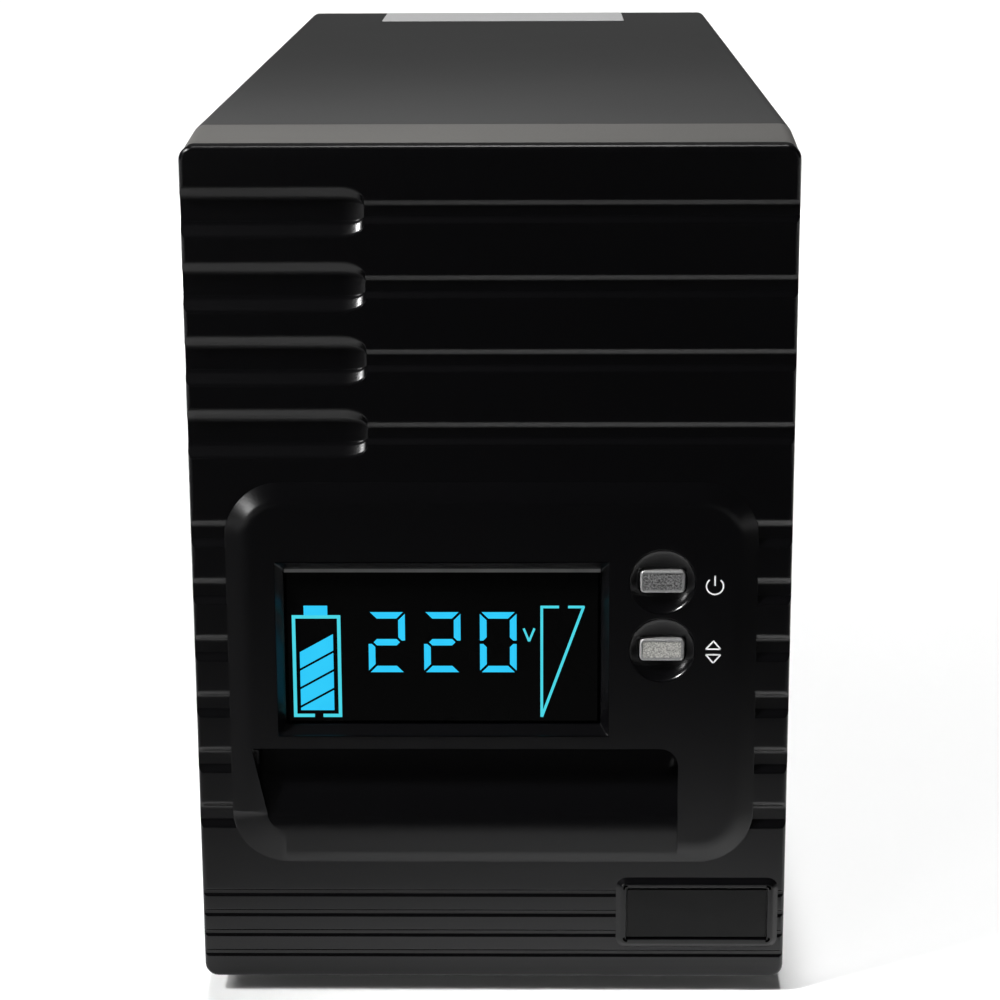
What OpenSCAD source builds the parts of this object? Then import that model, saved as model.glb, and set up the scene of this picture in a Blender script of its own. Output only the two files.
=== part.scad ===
// Uninterruptible power supply, tower form, with a moulded front and a steel case.
// Millimetres, +Z up, front towards -Y, origin on the floor under the middle of the outline.

/* [Case] */
// Width over the steel case
case_w = 140; // [138:1:170]
// Height of the body above the feet
body_h = 200; // [196:1:250]
// Depth from the flat of the front cover to the rear edge of the case
body_d = 374; // [360:1:460]
// Thickness of the steel sheets
sheet = 1.2; // [0.8:0.1:1.6]
// Outer bend radius of the top cover
bend_r = 3; // [2:0.5:5]
// Height of the rubber feet
foot_h = 4; // [3:0.5:8]
// Rows of air slots in each side
slot_rows = 8; // [4:1:8]

/* [Front] */
// Depth of the plastic front, from the flat of the cover to the steel case
bezel_d = 34; // [30:1:50]
// Depth of the rim of the front cover
cover_rim = 5; // [5:0.5:7]
// How much smaller the front is than the case, on each side
draft = 0.8; // [0.4:0.1:1.4]
// Corner radius of the front
face_r = 3.2; // [2.6:0.2:6]
// Wall of the plastic mouldings
wall = 2.4; // [2:0.1:2.8]
// How far the control panel stands out of the front
panel_rise = 1.6; // [1:0.1:2.4]
// Depth of the four wide scoops
scoop_depth = 1.9; // [1.4:0.1:2.4]
// Depth of the finger scoop behind the flat of the front
grip_depth = 6.5; // [5:0.5:8]
// Travel of the two buttons
button_travel = 0.8; // [0.4:0.1:1.2]

/* [Rear] */
// Travel of the reset button when the breaker trips
reset_travel = 4; // [2:0.5:6]

/* [Hidden] */
$fn = 48;
// Clearance between pieces that only lie beside each other
gap = 0.3;
// Clearance of a pin, plunger or shank in its hole, on the radius
fit = 0.08;
face_w = case_w - 2 * draft;
face_h = body_h - draft;
// Height that the middle of the raised panel keeps on a taller or shorter front
lift = (face_h - 199.2) / 2;

// Raised control panel
panel_w = case_w - 17.2;
panel_z0 = 29.5 + lift;
panel_z1 = 122.5 + lift;
panel_r = 13;
bevel = 4.7;

// Display
lcd_w = panel_w - 49.4;
lcd_x = (lcd_w - panel_w) / 2 + 13.3;
lcd_z = 82.7 + lift;
lcd_h = 37.6;
lcd_chamfer = 1.8;
lens_sink = 2.4;
lens_flange = 1.2;

// Buttons
button_x = panel_w / 2 - 22;
button_z = [99.1 + lift, 82.7 + lift];
cap_w = 10.8;
cap_h = 6.2;
cap_sink = 0.3;
dish_d = 15.2;
dish_depth = 1.5;
cap_flange = 1.2;

// Display board, carried on bosses behind the panel
board_d = 10;
pcb = 1.6;
boss_x = [7.2 - panel_w / 2, panel_w / 2 - 9.4];
boss_z = [65.5 + lift, 107 + lift];
switch_w = 6;
switch_h = 3.5;

// Scoops and grooves of the front: a short facet that looks down, then a long ramp back out
scoop_n = 4;
scoop_z = 184.5 + 2 * lift;
scoop_pitch = 16.9;
scoop_half = 5.65;
scoop_facet = 2.8;
scoop_x = 38 - case_w / 2;
scoop_r = 4;
groove_half = 2.6;
groove_facet = 1.3;
groove_depth = 0.85;
rib_n = 6;
rib_z = 110.2 + lift;
rib_pitch = 13.76;
rib_half = 3.2;
rib_facet = 1.6;
rib_depth = 1.05;
line_n = 4;
line_z = 6.3;
line_pitch = 5.13;
line_half = 0.95;
line_facet = 0.55;
line_depth = 0.4;

// Finger scoop
grip_x0 = 5 - panel_w / 2;
grip_x1 = panel_w / 2 - 17.9;
grip_top = 58.5 + lift;
grip_ridge = 40.5 + lift;
grip_r = 4.3;

// Badge
badge_x = face_w / 2 - 20.8;
badge_z = 16.8;
badge_w = 38.4;
badge_h = 17.8;
badge_r = 2.6;
badge_rise = 0.9;
plate_w = 33.4;
plate_h = 12.5;
plate_t = 0.8;

// Steel case
tray_x = case_w / 2 - sheet - gap;
tray_top = body_h - sheet - gap;
flange_h = 14;
rear_inset = 1;
rear_face = body_d - rear_inset;
rear_in = rear_face - sheet;
screw_z = 8;
screw_d = 3;
head_d = 6;
head_h = 1.6;
cover_screw_y = [bezel_d + 26, (bezel_d + body_d) / 2, body_d - 34];
frame_y = cover_rim + 0.4;
frame_back = 3;

// Batteries
battery_w = case_w / 2 - 5;
battery_l = 151;
battery_h = 94;
battery_gap = 0.6;
pad_t = 5;
battery_y = bezel_d + sheet + 1.5;
battery_z = sheet + pad_t;
battery_top = battery_z + battery_h;
battery_x = (battery_w + battery_gap) / 2;
tab_x = battery_w / 2 - 10.5;
tab_y = battery_y + 12;
tab_w = 6.3;
tab_t = 0.8;
tab_h = 6.5;
cage_back = battery_y + battery_l + 1.5;
deck_z = battery_top + 16;
door_top = battery_top + 13;
door_screw_x = case_w / 2 - 30;
lead_d = 3.6;

// Main board
standoff_h = 8;
main_z = deck_z + sheet + standoff_h;
main_top = main_z + pcb;
main_w = case_w - 24;
main_y0 = battery_y + 6;
main_y1 = cage_back - 4;
main_hole_x = main_w / 2 - 5;
main_hole_y = [main_y0 + 20, main_y1 - 6];
sink_x = main_w / 2 - 24;
sink_l = 104;
sink_h = 42;
sink_t = 4;

// Transformer
core_w = case_w - 30;
core_h = 92;
core_t = 56;
window_w = 18;
side_limb = 19;
limb_w = core_w - 2 * (window_w + side_limb);
window_h = 56;
coil_out = 15;
transformer_y = cage_back + sheet + 10 + core_t / 2 + coil_out;
bracket_t = 1.5;
bracket_h = 30;
bracket_foot = 10;

// Fan
fan_w = min(case_w - 60, 0.4 * body_h);
fan_x = case_w / 2 - 8 - fan_w / 2;
fan_z = body_h - 10 - fan_w / 2;
fan_t = 25;
fan_bore = fan_w - 3.4;
fan_hole = fan_w / 2 - 4.25;
hub_r = 17;
blade_n = 7;
shaft_d = 3;
wire = 1.6;

// Rear fittings: outlets in two columns under the fan, the rest in one column at the left
outlet_rows = 3;
outlet_pitch = 0.15 * body_h;
socket_x = [case_w / 2 - 62, case_w / 2 - 26];
socket_z = outlet_pitch - 2;
left_x = 28 - case_w / 2;
inlet_z = 0.16 * body_h;
breaker_z = 0.34 * body_h;
data_z = 0.49 * body_h;
network_z = 0.63 * body_h;
flange_w = 31;
flange_t = 2.2;
socket_body_w = 26.8;
socket_body_h = 19.6;
socket_deep = 22;
hex_w = 24.4;
hex_h = 16.4;
hex_c = 4.2;
recess_deep = 16;
blade_w = 2;
blade_h = 4;
neck_d = 10.8;
neck_out = 4.2;
button_d = 7;
button_out = 5.6;
port_board_y = rear_in - 16;
port_post_x = [left_x - 20, left_x + 20];
port_post_z = (data_z + network_z) / 2;

// Outline in depth, which puts the origin under the middle
rear_reach = max(button_out, 2 * wire - 0.4 + head_h);
front_y = -(rear_face + rear_reach - panel_rise) / 2;

// Shared shapes

// Moves a piece drawn from the flat of the front (y) and the underside of the case (z) into place
module set_down() {
  translate([0, front_y, foot_h]) children();
}

// Rectangle with round corners
module rounded_rect(w, h, r) {
  square([w - 2 * r, h], center = true);
  square([w, h - 2 * r], center = true);
  for (sx = [-1, 1], sz = [-1, 1])
    translate([sx * (w / 2 - r), sz * (h / 2 - r)]) circle(r);
}

// Draws an outline in X and Z and gives it depth
module along_y(y0, y1) {
  translate([0, y1, 0]) rotate([90, 0, 0]) linear_extrude(y1 - y0) children();
}

// Draws a profile in Y and Z and gives it width
module along_x(x0, x1) {
  translate([x0, 0, 0]) rotate([90, 0, 90]) linear_extrude(x1 - x0) children();
}

// Round bar from front to back
module rod_y(d, y0, y1) {
  translate([0, y0, 0]) rotate([-90, 0, 0]) cylinder(d = d, h = y1 - y0);
}

// Round bar from left to right
module rod_x(d, x0, x1) {
  translate([x0, 0, 0]) rotate([0, 90, 0]) cylinder(d = d, h = x1 - x0);
}

// Pan head screw along Y: its head spans y_head to y_seat, its shank goes on to y_tip
module screw_y(y_head, y_seat, y_tip, d, d_head) {
  rod_y(d_head, min(y_head, y_seat), max(y_head, y_seat));
  rod_y(d, min(y_seat, y_tip), max(y_seat, y_tip));
}

function arc(cx, cy, r, a0, a1, n) =
  [for (i = [0:n]) let (a = a0 + (a1 - a0) * i / n) [cx + r * cos(a), cy + r * sin(a)]];

// Front

// Outline of the flat front, drawn in by an inset
module face_outline(inset = 0) {
  translate([0, face_h / 2])
    rounded_rect(face_w - 2 * inset, face_h - 2 * inset, max(face_r - inset, 0.6));
}

module case_outline() {
  translate([0, body_h / 2]) rounded_rect(case_w, body_h, bend_r);
}

module panel_disc(x, z, r, rise) {
  translate([x, 0, z]) rod_y(2 * r, -rise, -rise + 0.1);
}

// Raised panel with a bevel all round
module panel_plain() {
  half = panel_w / 2 - bevel;
  r = panel_r - bevel;
  hull() {
    along_y(-0.1, 0) panel_outline();
    for (sx = [-1, 1], z = [panel_z0 + bevel + r, panel_z1 - bevel - r])
      panel_disc(sx * (half - r), z, r, panel_rise);
  }
}

// Raised panel with the sloping lip and the wider corner under the finger scoop
module panel_lipped() {
  half = panel_w / 2 - bevel;
  r = panel_r - bevel;
  hull() {
    along_y(-0.1, 0) panel_outline();
    for (sx = [-1, 1]) panel_disc(sx * (half - r), panel_z1 - bevel - r, r, panel_rise);
    panel_disc(-half + 0.5, grip_top, 0.5, panel_rise);
    panel_disc(half - 0.5, grip_ridge + 0.5, 0.5, panel_rise);
    panel_disc(-half + 6, grip_ridge + 0.5, 0.5, panel_rise);
    panel_disc(-half + 11.5, panel_z0 + bevel + 10, 10, 0.6 * panel_rise);
    panel_disc(half - r, panel_z0 + bevel + r, r, 0.6 * panel_rise);
  }
}

module panel_outline() {
  translate([0, (panel_z0 + panel_z1) / 2]) rounded_rect(panel_w, panel_z1 - panel_z0, panel_r);
}

module raised_panel() {
  panel_lipped();
  intersection() {
    panel_plain();
    translate([grip_x1, -panel_rise, panel_z0])
      cube([panel_w / 2, panel_rise + wall, panel_z1 - panel_z0]);
  }
  along_y(-0.1, wall) panel_outline();
}

// Hollow of the finger scoop: straight roof, rounded back, floor that comes forward to the lip
module grip_hollow() {
  back_r = 3.5;
  floor_a = atan2(grip_depth + panel_rise, grip_top - grip_ridge - 4.5);
  intersection() {
    along_x(grip_x0 - 4, grip_x1) polygon(concat(
      [[-panel_rise - 2, grip_top]],
      arc(grip_depth - back_r, grip_top - back_r, back_r, 90, -90 + floor_a, 8),
      [[-panel_rise, grip_ridge], [-panel_rise - 2, grip_ridge]]));
    along_y(-panel_rise - 3, grip_depth + 1) polygon(concat(
      [[grip_x0, grip_top + 1], [grip_x0 + 1.6, grip_top - 13], [grip_x0 + 4.4, grip_ridge - 1],
       [grip_x1, grip_ridge - 1]],
      arc(grip_x1 - grip_r, grip_top - grip_r, grip_r, 0, 90, 8)));
  }
}

// Wall that carries the finger scoop behind the front
module grip_back() {
  along_x(grip_x0 - wall, grip_x1 + wall) polygon([
    [wall - 0.5, grip_ridge - 5], [wall - 0.5, grip_top + 2], [grip_depth + wall, grip_top + 2],
    [grip_depth + wall, grip_top - 8], [wall, grip_ridge - 5]]);
}

// Long cut of a groove: a trough with two sloping sides, which run on to a little in front of the flat
module groove_cut(z, half, facet, depth, x0, x1) {
  out = 0.5;
  mouth = half + out * facet / depth;
  along_x(x0, x1) polygon([
    [-out, z + mouth], [depth, z + half - facet], [depth, z - half + facet], [-out, z - mouth]]);
}

// The four scoops, which run in from the left and have a round end
module scoop_cuts() {
  for (i = [0:scoop_n - 1]) intersection() {
    groove_cut(scoop_z - scoop_pitch * i, scoop_half, scoop_facet, scoop_depth, -case_w, scoop_x + scoop_r);
    translate([(scoop_x + scoop_r) / 2 - case_w / 2, 0, scoop_z - scoop_pitch * i])
      along_y(-1, scoop_depth + wall + 1) rounded_rect(case_w + scoop_x + scoop_r, 2 * scoop_half, scoop_r);
  }
}

// All shallow cuts of the flat front
module front_grooves() {
  for (i = [0:scoop_n - 1])
    groove_cut(scoop_z - scoop_pitch * i, groove_half, groove_facet, groove_depth, scoop_x, case_w);
  for (i = [0:rib_n - 1])
    groove_cut(rib_z - rib_pitch * i, rib_half, rib_facet, rib_depth, -case_w, case_w);
  for (i = [0:line_n - 1])
    groove_cut(line_z + line_pitch * i, line_half, line_facet, line_depth, -case_w, case_w);
}

module badge_outline(inset) {
  translate([badge_x, badge_z])
    rounded_rect(badge_w - 2 * inset, badge_h - 2 * inset, badge_r - inset);
}

module button_outline(grow) {
  rounded_rect(cap_w + 2 * grow, cap_h + 2 * grow, 1.2 + grow);
}

// Tongues that slide along the inside of the bezel frame
module cover_tongues() {
  reach = 12;
  slip = 0.2;
  t = 1.6;
  for (sx = [-1, 1], z = [face_h * 0.2, face_h * 0.8])
    translate([sx * (face_w / 2 - wall - slip - t / 2), (wall + cover_rim + reach) / 2, z])
      cube([t, cover_rim + reach - wall + 1, 16], center = true);
  for (sx = [-1, 1])
    translate([sx * 40, (wall + cover_rim + reach) / 2, face_h - wall - slip - t / 2])
      cube([16, cover_rim + reach - wall + 1, t], center = true);
}

module front_cover() {
  edge = 0.8;
  color("#1d1c1f") set_down() difference() {
    union() {
      difference() {
        hull() {
          along_y(0, 0.1) face_outline(edge);
          along_y(edge, cover_rim) face_outline();
        }
        along_y(wall, cover_rim + 1) face_outline(wall);
        front_grooves();
      }
      intersection() {
        translate([0, wall, 0]) scoop_cuts();
        along_y(wall - 0.5, cover_rim) face_outline(0.1);
      }
      raised_panel();
      grip_back();
      hull() {
        along_y(-badge_rise, 0) badge_outline(badge_rise);
        along_y(-0.1, 0.5) badge_outline(0);
      }
      for (x = boss_x, z = boss_z) translate([x, 0, z]) rod_y(6, wall - 0.5, board_d);
      cover_tongues();
    }
    scoop_cuts();
    grip_hollow();
    hull() {
      translate([lcd_x, 0, lcd_z]) along_y(-panel_rise - 0.1, -panel_rise)
        square([lcd_w + 2 * lcd_chamfer, lcd_h + 2 * lcd_chamfer + 0.8], center = true);
      translate([lcd_x, 0, lcd_z]) along_y(lens_sink - panel_rise - 0.1, lens_sink - panel_rise)
        square([lcd_w, lcd_h], center = true);
    }
    translate([lcd_x, 0, lcd_z]) along_y(0, wall + 1) square([lcd_w, lcd_h], center = true);
    for (z = button_z) translate([button_x, 0, z]) {
      dish_r = (dish_d * dish_d / 4 + dish_depth * dish_depth) / (2 * dish_depth);
      translate([0, dish_depth - panel_rise - dish_r, 0]) sphere(dish_r);
      along_y(-panel_rise - 1, wall + 1) button_outline(0.2);
    }
    translate([badge_x, 0, badge_z]) along_y(-2, plate_t - badge_rise + 0.3)
      square([plate_w, plate_h], center = true);
    for (x = boss_x, z = boss_z) translate([x, 0, z]) rod_y(2.4 + 2 * fit, board_d - 6, board_d + 1);
  }
}

module badge_plate() {
  floor_y = plate_t - badge_rise + 0.3;
  color("#3a3a3c") set_down() translate([badge_x, 0, badge_z])
    along_y(floor_y - plate_t, floor_y) square([plate_w - 0.3, plate_h - 0.3], center = true);
}

module bezel_frame() {
  cavity_w = face_w - 2 * wall;
  strip = 14;
  color("#6a645f") set_down() difference() {
    hull() {
      along_y(frame_y, frame_y + 0.1) face_outline();
      along_y(bezel_d - 0.1, bezel_d) case_outline();
    }
    along_y(frame_y - 1, bezel_d - frame_back) face_outline(wall);
    along_y(bezel_d - frame_back - 1, bezel_d + 1) intersection() {
      face_outline(wall);
      union() {
        translate([-cavity_w / 2, 0]) square([cavity_w, door_top + gap + 0.5]);
        translate([strip - cavity_w / 2, 0]) square([cavity_w - 2 * strip, face_h - wall - strip]);
      }
    }
    bezel_screw_places() rod_y(screw_d + 2 * fit, 0, bezel_d + 1);
  }
}

module bezel_screw_places() {
  for (sx = [-1, 1], z = [door_top + 10, face_h - 10])
    translate([sx * (face_w / 2 - wall - 7), 0, z]) children();
}

module bezel_screws() {
  seat = bezel_d - frame_back;
  color("#55585c") set_down() bezel_screw_places()
    screw_y(seat - head_h, seat, bezel_d + sheet + 0.6, screw_d, head_d);
}

module display_window() {
  color("#0a0d10") set_down() translate([lcd_x, 0, lcd_z]) {
    along_y(lens_sink - panel_rise, wall + lens_flange) square([lcd_w - 0.3, lcd_h - 0.3], center = true);
    along_y(wall, wall + lens_flange) square([lcd_w + 4.6, lcd_h + 4.6], center = true);
  }
}

module display_module() {
  front = wall + lens_flange + 0.2;
  color("#102028") set_down() translate([lcd_x, 0, lcd_z]) {
    along_y(front + 1, board_d) square([lcd_w + 2, lcd_h + 2.4], center = true);
    along_y(front, front + 1.1) square([lcd_w, lcd_h], center = true);
  }
}

module display_board() {
  x0 = boss_x[0] - 3.8;
  z0 = boss_z[0] - 3.8;
  color("#1f5a35") set_down() difference() {
    translate([x0, board_d, z0])
      cube([boss_x[1] - boss_x[0] + 7.6, pcb, boss_z[1] - boss_z[0] + 7.6]);
    for (x = boss_x, z = boss_z) translate([x, 0, z]) rod_y(2.7, board_d - 1, board_d + pcb + 1);
  }
}

module display_board_screws() {
  seat = board_d + pcb;
  color("#9a9da1") set_down() for (x = boss_x, z = boss_z) translate([x, 0, z])
    screw_y(seat + head_h, seat, board_d - 5, 2.4, 4.8);
}

// Depths of a button and of its plunger in the switch behind it
stem_end = board_d - switch_h - 0.7;
plunger_end = board_d - switch_h + 1.2;

module push_switches() {
  color("#26272a") set_down() for (z = button_z) translate([button_x, 0, z]) difference() {
    along_y(board_d - switch_h, board_d) square(switch_w, center = true);
    rod_y(3.4 + 2 * fit, board_d - switch_h - 1, plunger_end + button_travel + 0.2);
  }
}

module button_shape() {
  back = wall + 0.1;
  along_y(cap_sink - panel_rise, back + cap_flange) button_outline(0);
  along_y(back, back + cap_flange) button_outline(1);
  rod_y(3.4, back, stem_end);
}

module power_button() {
  color("#a3a4a8") set_down() translate([button_x, 0, button_z[0]]) button_shape();
}

module select_button() {
  color("#a3a4a8") set_down() translate([button_x, 0, button_z[1]]) button_shape();
}

module power_plunger() {
  color("#c9c4b8") set_down() translate([button_x, 0, button_z[0]]) rod_y(3.4, stem_end, plunger_end);
}

module select_plunger() {
  color("#c9c4b8") set_down() translate([button_x, 0, button_z[1]]) rod_y(3.4, stem_end, plunger_end);
}

// Steel case

module slot(len, h) {
  square([len - h, h], center = true);
  for (s = [-1, 1]) translate([s * (len - h) / 2, 0]) circle(h / 2);
}

module top_cover() {
  slot_l = 42;
  slot_h = 3;
  slot_pitch = 8;
  color("#404142") set_down() difference() {
    along_y(bezel_d + gap, body_d) difference() {
      rounded_rect(case_w, 2 * body_h, bend_r);
      rounded_rect(case_w - 2 * sheet, 2 * (body_h - sheet), bend_r - sheet);
      translate([-case_w, -2 * body_h]) square(2 * [case_w, body_h]);
    }
    for (i = [0:slot_rows - 1], j = [0:1])
      along_x(-case_w, case_w) translate([bezel_d + 52 + 52 * j, body_h - 14 - slot_pitch * i])
        slot(slot_l, slot_h);
    for (y = cover_screw_y) translate([0, y, screw_z]) rod_x(screw_d + 0.4, -case_w, case_w);
  }
}

// Outline of the bulkhead and of the rear panel, clear of the bend of the cover
module wall_outline() {
  translate([0, tray_top / 2]) rounded_rect(2 * tray_x, tray_top, bend_r);
  translate([-tray_x, 0]) square([2 * tray_x, flange_h]);
}

module chassis() {
  color("#2b2c2e") set_down() difference() {
    union() {
      translate([-tray_x, bezel_d, 0]) cube([2 * tray_x, rear_face - bezel_d, sheet]);
      along_y(bezel_d, bezel_d + sheet) wall_outline();
      along_y(rear_in, rear_face) wall_outline();
      for (s = [0, 1]) mirror([s, 0, 0])
        translate([tray_x - sheet, bezel_d, 0]) cube([sheet, rear_face - bezel_d, flange_h]);
    }
    translate([-battery_w - 0.9, bezel_d - 1, battery_z])
      cube([2 * battery_w + 1.8, sheet + 2, battery_h + 6]);
    bezel_screw_places() rod_y(screw_d + 2 * fit, bezel_d - 1, bezel_d + sheet + 1);
    for (sx = [-1, 1]) translate([sx * door_screw_x, 0, door_top - 3])
      rod_y(screw_d + 2 * fit, bezel_d - 1, bezel_d + sheet + 1);
    for (y = cover_screw_y) translate([0, y, screw_z]) rod_x(screw_d + 2 * fit, -case_w, case_w);
    bolt_places() translate([0, 0, -1]) cylinder(d = 4 + 2 * fit, h = sheet + 2);
    rear_cutouts();
  }
}

module rear_cutouts() {
  y0 = rear_in - 1;
  y1 = rear_face + 1;
  outlet_places() along_y(y0, y1) rounded_rect(socket_body_w + 0.4, socket_body_h + 0.4, 1);
  translate([left_x, 0, inlet_z]) along_y(y0, y1)
    rounded_rect(socket_body_w + 0.4, socket_body_h + 0.4, 1);
  translate([left_x, 0, breaker_z]) rod_y(neck_d + 0.3, y0, y1);
  translate([left_x, 0, data_z]) along_y(y0, y1) square([12.4, 11.4], center = true);
  translate([left_x, 0, network_z]) along_y(y0, y1) square([31, 15.6], center = true);
  for (x = port_post_x) translate([x, 0, port_post_z]) rod_y(screw_d + 2 * fit, y0, y1);
  translate([fan_x, 0, fan_z]) {
    rod_y(fan_bore, y0, y1);
    fan_corners() rod_y(4.3, y0, y1);
  }
}

module rubber_feet() {
  color("#161616") set_down()
    for (sx = [-1, 1], y = [bezel_d + 24, body_d - 32])
      translate([sx * (case_w / 2 - 18), y, -foot_h]) cylinder(d1 = 14, d2 = 16, h = foot_h);
}

module cover_screws() {
  color("#55585c") set_down() for (s = [0, 1], y = cover_screw_y) mirror([s, 0, 0])
    translate([0, y, screw_z]) {
      rod_x(head_d, case_w / 2, case_w / 2 + head_h);
      rod_x(screw_d, tray_x - sheet - 0.4, case_w / 2);
    }
}

// Batteries

module battery_door() {
  half = face_w / 2 - wall - gap;
  color("#3a3b3d") set_down() difference() {
    translate([-half, bezel_d - sheet, wall + gap]) cube([2 * half, sheet, door_top - wall - gap]);
    for (sx = [-1, 1]) translate([sx * door_screw_x, 0, door_top - 3])
      rod_y(screw_d + 2 * fit, bezel_d - sheet - 1, bezel_d + 1);
  }
}

module door_screws() {
  seat = bezel_d - sheet;
  color("#9a9da1") set_down() for (sx = [-1, 1]) translate([sx * door_screw_x, 0, door_top - 3])
    screw_y(seat - head_h, seat, bezel_d + sheet + 0.4, screw_d, head_d);
}

module battery_pad() {
  color("#303234") set_down()
    translate([-battery_w, battery_y, sheet]) cube([2 * battery_w, battery_l, pad_t]);
}

module battery(x) {
  lid = 6;
  translate([x - battery_w / 2, battery_y, battery_z]) cube([battery_w, battery_l, battery_h - lid]);
  translate([x - battery_w / 2 + 0.8, battery_y + 0.8, battery_z + battery_h - lid - 0.5])
    cube([battery_w - 1.6, battery_l - 1.6, lid + 0.5]);
}

module battery_left() {
  color("#4b4d52") set_down() battery(-battery_x);
}

module battery_right() {
  color("#4b4d52") set_down() battery(battery_x);
}

module battery_terminals() {
  color("#c8b88a") set_down() for (sx = [-1, 1], st = [-1, 1])
    translate([sx * battery_x + st * tab_x - tab_w / 2, tab_y - tab_t / 2, battery_top])
      cube([tab_w, tab_t, tab_h]);
}

// Push-on sleeve over a battery terminal
module sleeve(x) {
  translate([x, tab_y, battery_top + 1]) difference() {
    translate([-4.5, -2.2, 0]) cube([9, 4.4, 9]);
    translate([-tab_w / 2 - 0.1, -tab_t / 2 - 0.1, -1]) cube([tab_w + 0.2, tab_t + 0.2, tab_h + 0.1]);
  }
}

module battery_link() {
  x = battery_x - tab_x;
  color("#1b1b1d") set_down() {
    for (sx = [-1, 1]) sleeve(sx * x);
    translate([0, tab_y, battery_top + 7.6]) rod_x(3.2, -x + 4, x - 4);
  }
}

module battery_leads() {
  x = battery_x + tab_x;
  color("#8c1f1c") set_down() for (sx = [-1, 1]) {
    sleeve(sx * x);
    translate([sx * x, tab_y, battery_top + 9]) cylinder(d = lead_d, h = main_z - battery_top - 9);
  }
}

module battery_cage() {
  half = tray_x - sheet - 0.5;
  color("#8f9296") set_down() difference() {
    union() {
      translate([-half, bezel_d + sheet, deck_z]) cube([2 * half, cage_back - bezel_d, sheet]);
      translate([-half, cage_back, sheet]) cube([2 * half, sheet, deck_z]);
    }
    for (sx = [-1, 1]) translate([sx * (battery_x + tab_x), tab_y, deck_z - 1])
      cylinder(d = lead_d + 2, h = sheet + 2);
  }
}

// Main board

module board_corners() {
  for (sx = [-1, 1], y = main_hole_y) translate([sx * main_hole_x, y, 0]) children();
}

module main_board() {
  color("#1f5a35") set_down() difference() {
    translate([-main_w / 2, main_y0, main_z]) cube([main_w, main_y1 - main_y0, pcb]);
    board_corners() translate([0, 0, main_z - 1]) cylinder(d = 3.2, h = pcb + 2);
  }
}

module board_standoffs() {
  color("#c6a552") set_down() board_corners() difference() {
    translate([0, 0, deck_z + sheet]) cylinder(d = 6.4, h = standoff_h, $fn = 6);
    translate([0, 0, main_z - 6]) cylinder(d = 2.8 + 2 * fit, h = 7);
  }
}

module board_screws() {
  color("#9a9da1") set_down() board_corners() {
    translate([0, 0, main_top]) cylinder(d = 5.4, h = 2);
    translate([0, 0, main_z - 5]) cylinder(d = 2.8, h = pcb + 5.1);
  }
}

// Finned plates that stand on the board, fins outward
module heat_sinks() {
  fin_n = 6;
  fin_l = 12;
  mid = (main_y0 + main_y1) / 2;
  color("#a8abb0") set_down() for (s = [0, 1]) mirror([s, 0, 0])
    translate([sink_x, mid - sink_l / 2, main_top]) {
      cube([sink_t, sink_l, sink_h]);
      for (i = [0:fin_n - 1]) translate([sink_t - 0.1, 0, 4 + i * 7]) cube([fin_l, sink_l, 1.8]);
    }
}

module power_transistors() {
  mid = (main_y0 + main_y1) / 2;
  color("#1a1a1c") set_down() for (s = [0, 1], i = [-2:1]) mirror([s, 0, 0])
    translate([sink_x - 4.5, mid + 22 * i + 6, main_top]) {
      translate([0, 0, 8]) cube([4.5, 10, 16]);
      for (k = [1.5, 4.5, 7.5]) translate([2, k, 0]) cube([0.7, 1, 8.1]);
    }
}

module capacitors() {
  color("#26303f") set_down() for (i = [0:3])
    translate([i % 2 == 0 ? -12 : 12, main_y0 + 40 + 22 * floor(i / 2), main_top]) cylinder(d = 20, h = 35);
}

module relays() {
  pitch = sink_x / 2;
  relay_w = pitch - 2;
  color("#20242b") set_down() for (i = [-1:1])
    translate([i * pitch - relay_w / 2, main_y1 - 42, main_top]) cube([relay_w, 19, 15.5]);
}

// Transformer

module transformer_core() {
  color("#6d7074") set_down() translate([0, transformer_y, sheet]) difference() {
    translate([-core_w / 2, -core_t / 2, 0]) cube([core_w, core_t, core_h]);
    for (sx = [-1, 1]) translate([sx * (limb_w + window_w) / 2, 0, core_h / 2])
      cube([window_w, core_t + 2, window_h], center = true);
  }
}

module transformer_coil() {
  slip = 0.3;
  coil_h = window_h - 2 * slip;
  color("#b98a3e") set_down() translate([0, transformer_y, sheet + (core_h - coil_h) / 2]) difference() {
    linear_extrude(coil_h) rounded_rect(limb_w + 2 * window_w - 2, core_t + 2 * coil_out, 6);
    translate([-limb_w / 2 - slip, -core_t / 2 - slip, -1])
      cube([limb_w + 2 * slip, core_t + 2 * slip, coil_h + 2]);
  }
}

module bolt_places() {
  for (sx = [-1, 1], sy = [-1, 1])
    translate([sx * (core_w / 2 + bracket_t + 5), transformer_y + sy * 18, 0]) children();
}

module transformer_brackets() {
  color("#8f9296") set_down() difference() {
    for (s = [0, 1]) mirror([s, 0, 0]) translate([core_w / 2, transformer_y - core_t / 2, sheet]) {
      cube([bracket_t, core_t, bracket_h]);
      cube([bracket_foot, core_t, bracket_t]);
    }
    bolt_places() translate([0, 0, sheet - 1]) cylinder(d = 4 + 2 * fit, h = bracket_t + 2);
  }
}

module transformer_bolts() {
  seat = sheet + bracket_t;
  color("#9a9da1") set_down() bolt_places() {
    translate([0, 0, seat]) cylinder(d = 7, h = 2.8, $fn = 6);
    translate([0, 0, 0.1]) cylinder(d = 4, h = seat);
  }
}

// Fan

module fan_corners() {
  for (sx = [-1, 1], sz = [-1, 1]) translate([sx * fan_hole, 0, sz * fan_hole]) children();
}

module fan_place() {
  translate([fan_x, rear_in - fan_t, fan_z]) children();
}

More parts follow.
